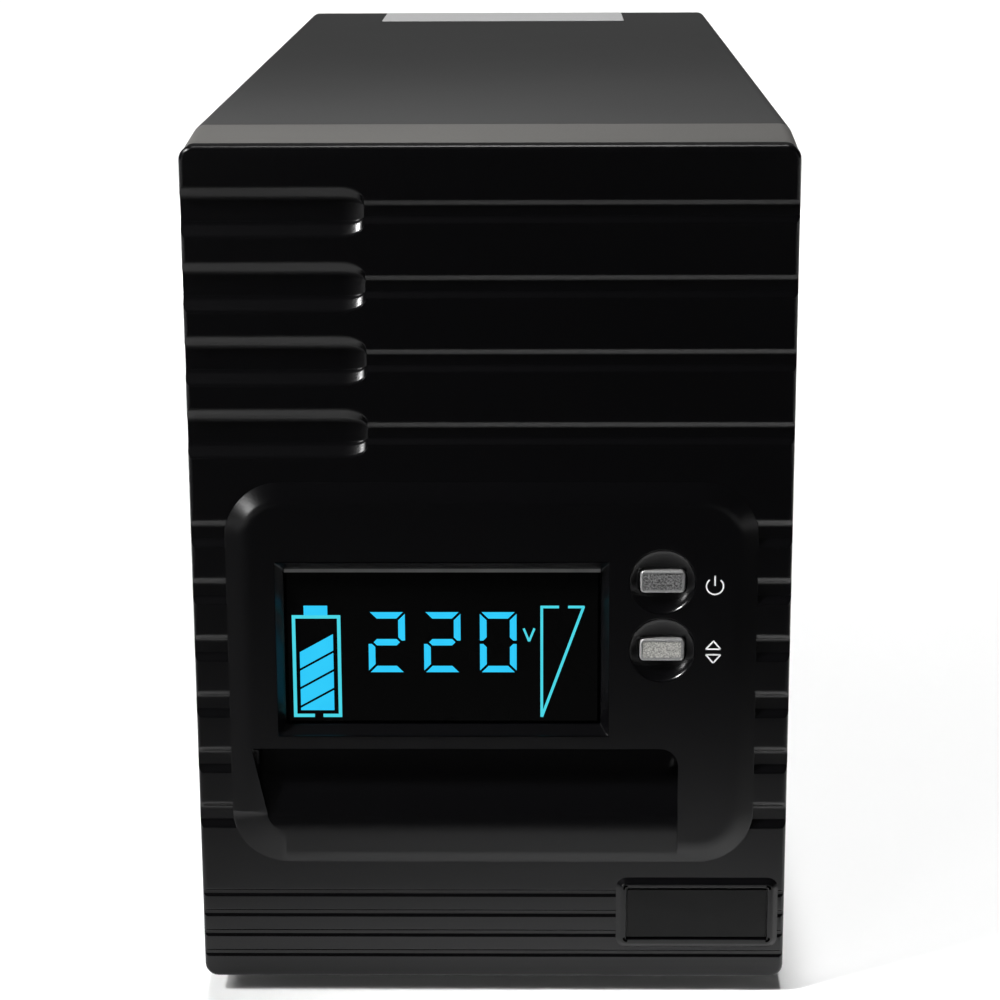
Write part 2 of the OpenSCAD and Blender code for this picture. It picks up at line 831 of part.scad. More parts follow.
// Square frame whose front wall keeps a disc for the motor and four arms
module fan_frame() {
  mount = 3;
  arm_w = 5;
  color("#1b1b1d") set_down() fan_place() difference() {
    union() {
      difference() {
        along_y(0, fan_t) rounded_rect(fan_w, fan_w, 4);
        rod_y(fan_bore, mount, fan_t + 1);
        along_y(-1, mount + 0.5) difference() {
          circle(d = fan_bore);
          circle(hub_r);
          for (a = [45, 135]) rotate(a) square([fan_w, arm_w], center = true);
        }
      }
      rod_y(8, mount - 1, mount + 6);
    }
    rod_y(shaft_d + 2 * fit, mount - 2, mount + 7);
    fan_corners() rod_y(4 + 2 * fit, -1, fan_t + 1);
  }
}

module fan_rotor() {
  back = fan_t - 2;
  front = 3.6;
  cup = 9.6;
  tip_r = fan_bore / 2 - 1.2;
  color("#232326") set_down() fan_place() {
    difference() {
      rod_y(2 * hub_r, front, back);
      rod_y(2 * hub_r - 4, front - 1, cup);
    }
    rod_y(shaft_d, 2, cup + 1);
    intersection() {
      for (i = [0:blade_n - 1]) rotate([0, 360 / blade_n * i, 0])
        translate([hub_r - 1, (front + back) / 2, 0]) rotate([38, 0, 0])
          translate([0, -11, -0.8]) cube([tip_r, 22, 1.6]);
      rod_y(2 * tip_r, front, back);
    }
  }
}

// Wire guard: rings carried on four wires that end in eyes at the screws
module fan_guard() {
  rings = [0.2, 0.4, 0.6, 0.8, 1];
  eye_y = rear_face;
  color("#b9bcc0") set_down() translate([fan_x, 0, fan_z]) difference() {
    union() {
      for (k = rings) translate([0, eye_y + 1.5 * wire - 0.4, 0]) rotate([-90, 0, 0])
        rotate_extrude() translate([k * (fan_bore / 2 - 1), 0]) circle(wire / 2);
      for (a = [45:90:315]) rotate([0, a, 0]) translate([0, eye_y + wire / 2, 0])
        rod_x(wire, 6, fan_hole * sqrt(2) - 3);
      fan_corners() rod_y(9, eye_y, eye_y + wire);
    }
    fan_corners() rod_y(4.3, eye_y - 1, eye_y + wire + 1);
  }
}

module fan_screws() {
  seat = rear_face + wire;
  color("#55585c") set_down() translate([fan_x, 0, fan_z]) fan_corners()
    screw_y(seat + head_h, seat, rear_in - 12, 4, 7);
}

// Rear fittings

module chamfered_outline(w, h, c) {
  polygon([[-w / 2, -h / 2], [w / 2, -h / 2], [w / 2, h / 2 - c], [w / 2 - c, h / 2],
           [c - w / 2, h / 2], [-w / 2, h / 2 - c]]);
}

module blade_places() {
  for (p = [[-7, -2], [7, -2], [0, 2]]) translate([p[0], 0, p[1]]) children();
}

module outlet_places() {
  for (x = socket_x, i = [0:outlet_rows - 1]) translate([x, 0, socket_z + outlet_pitch * i]) children();
}

module socket_shell() {
  along_y(rear_face, rear_face + flange_t) rounded_rect(flange_w, flange_w - 7, 2);
  along_y(rear_face - socket_deep, rear_face) rounded_rect(socket_body_w, socket_body_h, 1);
}

// Mains outlet: a core with three slots inside a ring-shaped recess
module outlet(i) {
  face = rear_face + flange_t;
  color("#151517") set_down()
    translate([socket_x[(i - 1) % 2], 0, socket_z + outlet_pitch * floor((i - 1) / 2)]) difference() {
      socket_shell();
      along_y(face - recess_deep, face + 1) difference() {
        chamfered_outline(hex_w, hex_h, hex_c);
        chamfered_outline(hex_w - 4, hex_h - 4, hex_c - 1);
      }
      blade_places() along_y(face - recess_deep, face + 1)
        square([blade_w + 0.6, blade_h + 0.6], center = true);
    }
}

module mains_inlet() {
  face = rear_face + flange_t;
  color("#151517") set_down() translate([left_x, 0, inlet_z]) difference() {
    socket_shell();
    along_y(face - recess_deep, face + 1) chamfered_outline(hex_w, hex_h, hex_c);
  }
}

module inlet_pins() {
  floor_y = rear_face + flange_t - recess_deep;
  color("#c9c9cc") set_down() translate([left_x, 0, inlet_z]) blade_places()
    along_y(floor_y, floor_y + recess_deep - 2) square([blade_w, blade_h], center = true);
}

module breaker_body() {
  deep = 28;
  color("#151517") set_down() translate([left_x, 0, breaker_z]) difference() {
    union() {
      along_y(rear_in - deep, rear_in) square([15, 26], center = true);
      rod_y(neck_d, rear_in - 1, rear_face + neck_out);
    }
    rod_y(button_d + 2 * fit, rear_face - reset_travel - 7, rear_face + neck_out + 1);
  }
}

module breaker_nut() {
  color("#9a9da1") set_down() translate([left_x, 0, breaker_z]) difference() {
    translate([0, rear_face, 0]) rotate([-90, 0, 0]) cylinder(d = 17, h = 2.4, $fn = 6);
    rod_y(neck_d + 2 * fit, rear_face - 1, rear_face + 3);
  }
}

module breaker_button() {
  color("#202022") set_down() translate([left_x, 0, breaker_z])
    rod_y(button_d, rear_face - reset_travel - 6, rear_face + button_out);
}

module data_port() {
  mouth = rear_face + 0.5;
  color("#b9bcc0") set_down() translate([left_x, 0, data_z]) {
    difference() {
      along_y(port_board_y, mouth) square([12, 11], center = true);
      along_y(mouth - 9, mouth + 1) chamfered_outline(8.6, 8, 1.6);
    }
    along_y(mouth - 10, mouth - 1.5) square([5.6, 3.2], center = true);
  }
}

module network_ports() {
  mouth = rear_face + 0.5;
  color("#1a1a1c") set_down() translate([left_x, 0, network_z]) difference() {
    along_y(port_board_y, mouth) square([30.6, 15.2], center = true);
    for (sx = [-1, 1]) translate([sx * 7.4, 0, 0]) {
      along_y(mouth - 12, mouth + 1) square([11.8, 8.4], center = true);
      translate([0, 0, -5]) along_y(mouth - 12, mouth + 1) square([6, 3], center = true);
    }
  }
}

module port_board() {
  color("#1f5a35") set_down() difference() {
    translate([left_x - 24, port_board_y - pcb, data_z - 8]) cube([48, pcb, network_z - data_z + 18]);
    for (x = port_post_x) translate([x, 0, port_post_z])
      rod_y(screw_d + 0.4, port_board_y - 3, port_board_y + 1);
  }
}

module port_posts() {
  color("#c6a552") set_down() for (x = port_post_x) translate([x, 0, port_post_z]) difference() {
    rod_y(6, port_board_y, rear_in);
    rod_y(screw_d + 2 * fit, port_board_y - 1, rear_in + 1);
  }
}

// Long screws through the rear panel, the posts and the port board
module port_screws() {
  color("#55585c") set_down() for (x = port_post_x) translate([x, 0, port_post_z])
    screw_y(rear_face + head_h, rear_face, port_board_y - pcb - 1.5, screw_d, head_d);
}

front_cover();
bezel_frame();
badge_plate();
display_window();
display_module();
display_board();
display_board_screws();
push_switches();
power_button();
power_plunger();
select_button();
select_plunger();
top_cover();
chassis();
rubber_feet();
cover_screws();
bezel_screws();
battery_door();
door_screws();
battery_pad();
battery_left();
battery_right();
battery_terminals();
battery_link();
battery_leads();
battery_cage();
main_board();
board_standoffs();
board_screws();
heat_sinks();
power_transistors();
capacitors();
relays();
transformer_core();
transformer_coil();
transformer_brackets();
transformer_bolts();
fan_frame();
fan_rotor();
fan_guard();
fan_screws();
mains_inlet();
inlet_pins();
for (i = [1:2 * outlet_rows])
  outlet(i);
breaker_body();
breaker_nut();
breaker_button();
data_port();
network_ports();
port_board();
port_posts();
port_screws();
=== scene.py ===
# %% [markdown]
# # Uninterruptible power supply
# The CAD model gives every piece its place. This lesson dresses it: the moulded front, the display,
# the buttons, the screws and the label are modelled again with soft edges, and every surface gets a finish.

# %% Load the frame
import math

import bpy
from mathutils import Matrix, Vector


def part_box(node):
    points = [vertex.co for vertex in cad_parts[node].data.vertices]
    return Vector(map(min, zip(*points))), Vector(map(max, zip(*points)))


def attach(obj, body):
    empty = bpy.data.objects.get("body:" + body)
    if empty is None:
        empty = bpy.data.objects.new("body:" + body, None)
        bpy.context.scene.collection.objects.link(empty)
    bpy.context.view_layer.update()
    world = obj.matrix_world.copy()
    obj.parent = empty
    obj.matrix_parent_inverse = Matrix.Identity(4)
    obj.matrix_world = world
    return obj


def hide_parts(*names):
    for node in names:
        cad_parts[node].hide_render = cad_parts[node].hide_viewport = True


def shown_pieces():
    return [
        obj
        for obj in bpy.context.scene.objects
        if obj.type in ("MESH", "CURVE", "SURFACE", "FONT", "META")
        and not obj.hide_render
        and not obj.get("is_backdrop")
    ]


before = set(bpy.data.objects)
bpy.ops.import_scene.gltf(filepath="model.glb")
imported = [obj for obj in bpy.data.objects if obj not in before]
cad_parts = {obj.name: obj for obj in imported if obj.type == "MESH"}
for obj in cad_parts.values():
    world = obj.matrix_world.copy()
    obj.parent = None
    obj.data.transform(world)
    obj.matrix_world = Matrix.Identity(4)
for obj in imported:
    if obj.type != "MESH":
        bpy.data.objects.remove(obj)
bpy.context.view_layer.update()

# %% [markdown]
# The drawing works in millimetres: x to the right, y behind the flat of the front, z above the underside
# of the case. The raised panel stands 1.6 mm out of the flat, so the CAD box of the front cover gives the
# flat, and the top of the feet gives the underside. Reading both from the frame keeps the drawing in place
# if the CAD model moves.

# %% The drawing's place in the frame
PANEL_RISE = 1.6
MM = 0.001
FACE_W, FACE_H = 138.4, 199.2
CASE_W, BODY_D, BODY_H = 140.0, 374.0, 200.0
flat_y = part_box("front_cover")[0].y + PANEL_RISE * MM
under_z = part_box("rubber_feet")[1].z
print("flat of the front at y =", round(flat_y, 4), "underside at z =", round(under_z, 4))

# %% [markdown]
# A few habits of the hand are kept as helpers: clear the selection, take one object, pick faces, edges
# or vertices by where they are, pull a flat shape into a prism, cut one solid with another, and set a
# finished piece down in metres. Picking by place instead of by number survives every change of size.

# %% Helpers of the hand
def clear_hands():
    if bpy.context.object and bpy.context.object.mode != "OBJECT":
        bpy.ops.object.mode_set(mode="OBJECT")
    bpy.ops.object.select_all(action="DESELECT")


def take(piece):
    clear_hands()
    piece.select_set(True)
    bpy.context.view_layer.objects.active = piece


def apply_place(piece):
    take(piece)
    bpy.ops.object.transform_apply(location=True, rotation=True, scale=True)
    return piece


def block(name, low, high):
    """A box between two corners, in the drawing's millimetres."""
    low, high = Vector(low), Vector(high)
    clear_hands()
    bpy.ops.mesh.primitive_cube_add(size=1, location=(low + high) / 2, scale=high - low)
    piece = bpy.context.object
    piece.name = name
    return apply_place(piece)


def pick(kind, test):
    """Edit mode on the active piece, with only those faces, edges or vertices picked that pass the test."""
    bpy.ops.object.mode_set(mode="OBJECT")
    mesh = bpy.context.object.data
    points = [v.co.copy() for v in mesh.vertices]
    for part in (mesh.vertices, mesh.edges, mesh.polygons):
        part.foreach_set("select", [False] * len(part))
    if kind == "VERT":
        for v in mesh.vertices:
            v.select = bool(test(v.co))
    elif kind == "EDGE":
        for e in mesh.edges:
            e.select = bool(test(points[e.vertices[0]], points[e.vertices[1]]))
    else:
        for f in mesh.polygons:
            f.select = bool(test(f.center, f.normal))
    bpy.context.tool_settings.mesh_select_mode = (kind == "VERT", kind == "EDGE", kind == "FACE")
    bpy.ops.object.mode_set(mode="EDIT")


def push(x, y, z):
    bpy.ops.transform.translate(value=(x, y, z))


def extrude(x, y, z):
    bpy.ops.mesh.extrude_region_move(TRANSFORM_OT_translate={"value": (x, y, z)})


def bevel(width, segments, corners=False):
    bpy.ops.mesh.bevel(offset=width, segments=segments, affect="VERTICES" if corners else "EDGES")


def done_editing():
    bpy.ops.mesh.select_all(action="SELECT")
    bpy.ops.mesh.remove_doubles(threshold=1e-4)
    bpy.ops.mesh.normals_make_consistent(inside=False)
    bpy.ops.object.mode_set(mode="OBJECT")


def prism(name, corners, place, along, rounded=()):
    """A flat shape with these corners, placed by a function, some of them rounded, then extruded."""
    clear_hands()
    bpy.ops.mesh.primitive_circle_add(vertices=len(corners), radius=1, fill_type="NGON")
    piece = bpy.context.object
    piece.name = name
    for v, corner in zip(piece.data.vertices, corners):
        v.co = place(*corner)
    take(piece)
    for test, radius in rounded:
        pick("VERT", test)
        bevel(radius, 10, corners=True)
    pick("FACE", lambda c, n: True)
    extrude(*along)
    return piece


def apply_modifier(piece, kind, **settings):
    take(piece)
    modifier = piece.modifiers.new(kind.lower(), kind)
    for name, value in settings.items():
        setattr(modifier, name, value)
    bpy.ops.object.modifier_apply(modifier=modifier.name)


def cut(piece, tool, operation="DIFFERENCE"):
    apply_modifier(piece, "BOOLEAN", object=tool, operation=operation, solver="EXACT")
    bpy.data.objects.remove(tool)


def copy_to(piece, x=0.0, y=0.0, z=0.0):
    clear_hands()
    twin = piece.copy()
    twin.data = piece.data.copy()
    bpy.context.scene.collection.objects.link(twin)
    twin.data.transform(Matrix.Translation((x, y, z)))
    return twin


def join(name, pieces):
    take(pieces[0])
    for piece in pieces[1:]:
        piece.select_set(True)
    if len(pieces) > 1:
        bpy.ops.object.join()
    bpy.context.object.name = name
    return bpy.context.object


def soften(piece, angle=30):
    """Smooth shading up to an angle, with normals that follow the large flats."""
    take(piece)
    bpy.ops.object.shade_smooth_by_angle(angle=math.radians(angle))
    apply_modifier(piece, "WEIGHTED_NORMAL", mode="FACE_AREA", keep_sharp=True)


def set_down(piece, body, stands_for=()):
    """Millimetres of the drawing become metres of the frame, and the piece rides on its body."""
    place = Matrix.Translation((0, flat_y, under_z)) @ Matrix.Scale(MM, 4)
    piece.data.transform(place)
    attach(piece, body)
    if stands_for:
        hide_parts(*stands_for)
    print(piece.name, "has", len(piece.data.polygons), "faces and rides on", body)


# %% [markdown]
# The camera stands a little right of the middle, 0.6 m in front of the flat and above the top of the case,
# and looks down by about fifteen degrees with a short telephoto lens. It could be placed by eye at the end;
# it comes first, so that every later step is judged in it.

# %% Camera
CAMERA_X, CAMERA_AHEAD, CAMERA_Z = 0.01108, 0.5967, 0.27705
TURN, TILT, ROLL = 0.867, 75.452, -0.237
camera_data = bpy.data.cameras.new("camera")
camera_data.lens = 97.03
camera_data.sensor_width = 36.0
camera = bpy.data.objects.new("camera", camera_data)
bpy.context.scene.collection.objects.link(camera)
turn = Matrix.Rotation(math.radians(TURN), 4, "Z") @ Matrix.Rotation(math.radians(TILT), 4, "X")
turn = turn @ Matrix.Rotation(math.radians(ROLL), 4, "Z")
camera.matrix_world = Matrix.Translation((CAMERA_X, flat_y - CAMERA_AHEAD, CAMERA_Z)) @ turn
bpy.context.scene.camera = camera
print("camera at", [round(v, 3) for v in camera.location])

# %% [markdown]
# Black plastic shows the room more than itself, so the light is set on the floor that it mirrors. The top box
# hangs over the case and ends just in front of it: the foot of the front mirrors bright floor, and the case
# shades the floor at its own foot. Further in front a dark lane lies between two floor boxes, and the upper
# front mirrors that lane. The rear box makes the floor behind white. At the left a box brightens the floor
# beside the foot, a small lamp draws the sparks at the ends of the scoops, and a card lights the upper left
# corner of the panel, the buttons and the signs. One large dome would be simpler, but it greys the face.

# %% Floor and light
bpy.context.scene.view_settings.view_transform = "Standard"
clear_hands()
bpy.ops.mesh.primitive_plane_add(size=24, location=(0, 0, 0))
floor = bpy.context.object
floor.name = "floor"
floor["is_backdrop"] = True


def lamp(name, place, aim, size, watts, spread):
    """A soft box at a place in metres that looks at its aim, with a beam as wide as its spread in degrees."""
    data = bpy.data.lights.new(name, "AREA")
    data.shape = "RECTANGLE"
    data.size, data.size_y = size
    data.energy = watts
    data.spread = math.radians(spread)
    made = bpy.data.objects.new(name, data)
    bpy.context.scene.collection.objects.link(made)
    made.location = place
    made.rotation_euler = (Vector(aim) - Vector(place)).to_track_quat("-Z", "Y").to_euler()


lamp("top_box", place=(0, 0.51, 0.8), aim=(0, 0.44, 0), size=(10.0, 1.32), watts=41.2, spread=8)
lamp("rear_box", place=(0, 2.9, 1.9), aim=(0, 2.9, 0), size=(6.0, 4.4), watts=107, spread=50)
for x, name in ((-2.8, "left_floor_box"), (2.8, "right_floor_box")):
    lamp(name, place=(x, -2.9, 1.9), aim=(x, -2.9, 0), size=(4.4, 5.6), watts=77, spread=12)
lamp("left_box", place=(-0.8, -0.5, 0.7), aim=(-0.1, -0.17, 0), size=(0.4, 0.4), watts=0.26, spread=30)
lamp("left_lamp", place=(-0.71, -0.52, 1.04), aim=(0, -0.19, 0.13), size=(0.22, 0.22), watts=0.3, spread=14)
lamp("left_card", place=(-0.69, -1.2, 0.33), aim=(-0.05, -0.19, 0.14), size=(0.5, 0.5), watts=0.11, spread=12)
world = bpy.data.worlds.new("studio")
bpy.context.scene.world = world
world.use_nodes = True
world.node_tree.nodes["Background"].inputs["Color"].default_value = (0.05, 0.05, 0.05, 1)

# %% [markdown]
# The front cover is one moulding. Its plate starts as a box: the four long corners are bevelled round,
# then the rim of the face, and the back is hollowed by an inset and an extrude. A Solidify modifier on a
# sheet would do as well, but the box keeps the outside exact.

# %% Front plate
RIM, SHELL, WALL = 5.0, 4.3, 2.4
CORNER_R, RIM_R = 3.2, 1.1
plate = block("front_moulding", (-FACE_W / 2, 0, 0), (FACE_W / 2, RIM, FACE_H))
pick("EDGE", lambda a, b: abs(a.y - b.y) > 1)
bevel(CORNER_R, 6)
pick("EDGE", lambda a, b: a.y < 0.01 and b.y < 0.01)
bevel(RIM_R, 4)
pick("FACE", lambda c, n: n.y > 0.9)
bpy.ops.mesh.inset(thickness=WALL)
extrude(0, SHELL - RIM, 0)
done_editing()
print("plate:", len(plate.data.polygons), "faces")

# %% [markdown]
# Scoops, grooves, ribs and lines share one section: a trough with two sloping sides, of which the upper one
# looks down at the floor and shines. An eight-cornered disc is pulled into that section, its corners are
# rounded, and it is extruded along the front. The outer corners lie a hair outside the flat, so the rounding
# runs out softly. Cutting with one section is shorter than pulling every trough out of the plate's own mesh.

# %% The section of a groove
def groove_tool(half, facet, depth, soft, x0):
    """The section of a trough at x0, by its half width, the height of its sides and its depth."""
    clear_hands()
    bpy.ops.mesh.primitive_circle_add(vertices=8, radius=1, fill_type="NGON")
    tool = bpy.context.object
    edge, hair = 0.3 * half, 0.004 * half
    corners = [(-half, half + edge), (-hair, half + edge), (0, half), (depth, half - facet),
               (depth, facet - half), (0, -half), (-hair, -half - edge), (-half, -half - edge)]
    for v, (y, z) in zip(tool.data.vertices, corners):
        v.co = (x0, y, z)
    take(tool)
    pick("VERT", lambda p: abs(p.y) < 1e-6)
    bevel(soft, 3, corners=True)
    pick("VERT", lambda p: p.y > 0.98 * depth)
    bevel(0.25 * facet, 3, corners=True)
    bpy.ops.mesh.select_all(action="SELECT")
    return tool


# %% [markdown]
# At the left each of the four troughs is a wide scoop, which ends in a round nose and goes on as a narrow
# groove. Two troughs and a ball would leave seams, so one section is extruded in steps and shrinks along a
# quarter ellipse until it has the size of the groove.

# %% Scoops that end in grooves
SCOOP_N, SCOOP_Z, SCOOP_PITCH = 4, 184.5, 16.9
SCOOP_X, SCOOP_END = -33.6, 5.6
GROOVE_DEEP, GROOVE_HIGH = 0.45, 0.46
LEFT, RIGHT = -FACE_W / 2 - 5, FACE_W / 2 + 5
steps = 10
scoop = groove_tool(half=5.65, facet=2.8, depth=1.9, soft=0.5, x0=LEFT)
extrude(SCOOP_X - LEFT, 0, 0)
x, deep, high = SCOOP_X, 1.0, 1.0
for i in range(1, steps + 1):
    turned = math.radians(90 * i / steps)
    next_x = SCOOP_X + SCOOP_END * math.sin(turned)
    next_deep = GROOVE_DEEP + (1 - GROOVE_DEEP) * math.cos(turned)
    next_high = GROOVE_HIGH + (1 - GROOVE_HIGH) * math.cos(turned)
    extrude(next_x - x, 0, 0)
    shrink = (1, next_deep / deep, next_high / high)
    bpy.ops.transform.resize(value=shrink, center_override=(next_x, 0, 0))
    x, deep, high = next_x, next_deep, next_high
extrude(RIGHT - SCOOP_X - SCOOP_END, 0, 0)
done_editing()
tools = [copy_to(scoop, z=SCOOP_Z - SCOOP_PITCH * i) for i in range(SCOOP_N)]
bpy.data.objects.remove(scoop)

# %% [markdown]
# Six ribs run behind the panel and show at both its sides, and four fine lines run along the foot. Both are
# the same section at other sizes, copied at an even pitch. All troughs are joined and cut in one go, which
# is quicker and cleaner than fourteen cuts.

# %% Ribs beside the panel and lines at the foot
RIB_N, RIB_Z, RIB_PITCH = 6, 110.2, 13.76
LINE_N, LINE_Z, LINE_PITCH = 4, 6.3, 5.13
rib = groove_tool(half=3.2, facet=1.6, depth=1.05, soft=0.35, x0=LEFT)
extrude(RIGHT - LEFT, 0, 0)
done_editing()
tools += [copy_to(rib, z=RIB_Z - RIB_PITCH * i) for i in range(RIB_N)]
line = groove_tool(half=0.95, facet=0.55, depth=0.4, soft=0.15, x0=LEFT)
extrude(RIGHT - LEFT, 0, 0)
done_editing()
tools += [copy_to(line, z=LINE_Z + LINE_PITCH * i) for i in range(LINE_N)]
for used in (rib, line):
    bpy.data.objects.remove(used)
cut(plate, join("groove_tools", tools))
print("plate with grooves:", len(plate.data.polygons), "faces")

# %% [markdown]
# The raised panel is its own box with large round corners. Its face is inset and pulled forward, which
# leaves the wide slope all round; a bevel could do the same, but the inset keeps its width exact. Beside the
# finger scoop the slope widens towards the lower left corner: two cuts mark where that begins, and the corner
# of the face is drawn in towards the middle of its arc and dips a little, to the level of the scoop's lip.

# %% Raised panel
PANEL_W, PANEL_Z0, PANEL_Z1 = 122.8, 29.5, 122.5
PANEL_R, SLOPE, SLOPE_SOFT, PANEL_BACK = 13.0, 4.7, 1.3, 4.2
GRIP_TOP, WIDE_X, DRAWN_IN, DIP = 58.5, -32.0, 0.6, 0.4
panel = block("panel", (-PANEL_W / 2, 0, PANEL_Z0), (PANEL_W / 2, PANEL_BACK, PANEL_Z1))
pick("EDGE", lambda a, b: abs(a.y - b.y) > 1)
bevel(PANEL_R, 14)
pick("FACE", lambda c, n: n.y < -0.9)
bpy.ops.mesh.inset(thickness=SLOPE)
push(0, -PANEL_RISE, 0)
for spot, across in (((WIDE_X, 0, 0), (1, 0, 0)), ((0, 0, GRIP_TOP), (0, 0, 1))):
    bpy.ops.mesh.select_all(action="SELECT")
    bpy.ops.mesh.bisect(plane_co=spot, plane_no=across)
arc_x, arc_z = -PANEL_W / 2 + PANEL_R, PANEL_Z0 + PANEL_R
pick("VERT", lambda p: p.y < -1 and p.x < arc_x + 0.1 and p.z < arc_z + 0.1)
bpy.ops.transform.resize(value=(DRAWN_IN, 1, DRAWN_IN), center_override=(arc_x, 0, arc_z))
push(0, DIP, 0)
pick("FACE", lambda c, n: n.y < -0.99)
bpy.ops.mesh.region_to_loop()
bevel(SLOPE_SOFT, 4)
done_editing()
print("panel:", len(panel.data.polygons), "faces")

# %% [markdown]
# The display pocket is a box that flares towards the front. Each button sits in a dish, which is half a
# flattened ball, and goes through a hole with round corners. All are cut from the solid panel, because a cut
# leaves crisp edges, and one Bevel modifier then breaks those edges as a mould does.

# %% Display pocket, dishes and button holes
LCD_X, LCD_Z, LCD_W, LCD_H, LENS = -11.4, 82.7, 73.4, 37.6, 0.8
FLARE_X, FLARE_Z, BEHIND = 1.8, 2.2, 9.0
BUTTON_X, BUTTON_Z = 39.4, (99.1, 82.7)
CAP_W, CAP_H, CAP_GAP, HOLE_R = 10.3, 5.2, 0.3, 1.5
DISH_R, DISH_DEPTH, DISH_OUT = 7.7, 2.1, 0.25
pocket = block("pocket", (LCD_X - LCD_W / 2, LENS, LCD_Z - LCD_H / 2),
               (LCD_X + LCD_W / 2, BEHIND, LCD_Z + LCD_H / 2))
pick("FACE", lambda c, n: n.y < -0.9)
extrude(0, -PANEL_RISE - LENS, 0)
flare = (1 + 2 * FLARE_X / LCD_W, 1, 1 + 2 * FLARE_Z / LCD_H)
bpy.ops.transform.resize(value=flare, center_override=(LCD_X, 0, LCD_Z))
extrude(0, -2, 0)
done_editing()
cut(panel, pocket)
hole_x, hole_z = CAP_W / 2 + CAP_GAP, CAP_H / 2 + CAP_GAP
for z in BUTTON_Z:
    clear_hands()
    bpy.ops.mesh.primitive_uv_sphere_add(segments=72, ring_count=48, radius=1,
                                         location=(BUTTON_X, -PANEL_RISE - DISH_OUT, z),
                                         scale=(DISH_R, DISH_R, DISH_DEPTH),
                                         rotation=(math.radians(90), 0, 0))
    cut(panel, apply_place(bpy.context.object))
    hole = block("hole", (BUTTON_X - hole_x, -4, z - hole_z), (BUTTON_X + hole_x, BEHIND, z + hole_z))
    pick("EDGE", lambda a, b: abs(a.y - b.y) > 1)
    bevel(HOLE_R, 4)
    done_editing()
    cut(panel, hole)
apply_modifier(panel, "BEVEL", width=0.3, segments=2, limit_method="ANGLE", angle_limit=math.radians(38),
               use_clamp_overlap=False, harden_normals=False)
print("panel with pocket and dishes:", len(panel.data.polygons), "faces")

# %% [markdown]
# The finger scoop has a roof and a deep back, and its floor rolls forward over a soft ridge to the lower
# slope. Its section is drawn once and extruded from right to left. A prism ends it at both sides, with one
# round corner at the right and with the line of the panel's slope at the left: only what both share is cut.
# The panel is thin, so a block behind it carries the scoop.

# %% Finger scoop
GRIP_RIDGE, GRIP_FLOOR, GRIP_DEPTH = 44.0, 53.9, 6.5
GRIP_RIGHT, GRIP_LEFT, GRIP_R, GRIP_WALL = 43.5, -60.0, 4.3, 2.4
FLOOR_SOFT, RIDGE_SOFT = 4.5, 7.0
LIP_FOOT, LIP_Y, LIP_END_Y, INSIDE = PANEL_Z0 + 3.1, -0.85, -0.6, 0.3
CARRIER_LEFT, CARRIER_FRONT, CARRIER_LOW = -58.8, 2.0, 36.0
ahead, above, below = -4, GRIP_TOP + 3.5, PANEL_Z0 - 1
section = [(ahead, above), (GRIP_DEPTH, above), (GRIP_DEPTH, GRIP_FLOOR), (-PANEL_RISE, GRIP_RIDGE),
           (LIP_Y, LIP_FOOT), (LIP_END_Y, below), (ahead, below)]
soft = [(lambda p: p.y > GRIP_DEPTH - 0.1 and p.z < GRIP_TOP, FLOOR_SOFT),
        (lambda p: abs(p.z - GRIP_RIDGE) < 0.1, RIDGE_SOFT)]
start = GRIP_RIGHT + 2
hollow = prism("hollow", section, lambda y, z: (start, y, z), (GRIP_LEFT - start, 0, 0), soft)
done_editing()
end_r = DRAWN_IN * (PANEL_R - SLOPE) - INSIDE
turns = [math.radians(15 * i) for i in range(6)]
corners = [(-PANEL_W / 2 + SLOPE + INSIDE, GRIP_TOP)]
corners += [(arc_x - end_r * math.cos(a), arc_z - end_r * math.sin(a)) for a in turns]
corners += [(corners[-1][0], PANEL_Z0 - 2), (GRIP_RIGHT, PANEL_Z0 - 2), (GRIP_RIGHT, GRIP_TOP)]
window = prism("window", corners, lambda x, z: (x, -3, z), (0, 14, 0))
pick("EDGE", lambda a, b: abs(a.y - b.y) > 1 and a.x > GRIP_RIGHT - 0.1 and a.z > GRIP_TOP - 0.1)
bevel(GRIP_R, 8)
done_editing()
cut(hollow, window, "INTERSECT")
carrier = block("carrier", (CARRIER_LEFT, CARRIER_FRONT, CARRIER_LOW),
                (GRIP_RIGHT + GRIP_WALL, GRIP_DEPTH + GRIP_WALL, GRIP_TOP + GRIP_WALL))
cut(panel, carrier, "UNION")
cut(panel, hollow)
print("panel with finger scoop:", len(panel.data.polygons), "faces")

# %% [markdown]
# Behind the panel the plate is open, so the display and the buttons reach through. The badge frame is a
# small box with a slope, a rim and a recess, all by inset and extrude, so every width follows the outline.

# %% Opening behind the panel, badge frame
OPEN_HALF, OPEN_LOW, OPEN_HIGH, OPEN_R = 55.0, 35.0, 116.0, 7.0
opening = block("opening", (-OPEN_HALF, -1, OPEN_LOW), (OPEN_HALF, BEHIND, OPEN_HIGH))
pick("EDGE", lambda a, b: abs(a.y - b.y) > 1)
bevel(OPEN_R, 6)
done_editing()
cut(plate, opening)
BADGE_X, BADGE_Z, BADGE_W, BADGE_H = 48.4, 16.8, 38.4, 17.8
BADGE_R, BADGE_SLOPE, BADGE_RIM, BADGE_RISE, BADGE_DEPTH = 2.6, 1.3, 1.2, 0.9, 1.1
badge = block("badge", (BADGE_X - BADGE_W / 2, 0, BADGE_Z - BADGE_H / 2),
              (BADGE_X + BADGE_W / 2, 2, BADGE_Z + BADGE_H / 2))
pick("EDGE", lambda a, b: abs(a.y - b.y) > 1)
bevel(BADGE_R, 6)
pick("FACE", lambda c, n: n.y < -0.9)
bpy.ops.mesh.inset(thickness=BADGE_SLOPE)
push(0, -BADGE_RISE, 0)
bpy.ops.mesh.inset(thickness=BADGE_RIM)
extrude(0, BADGE_DEPTH, 0)
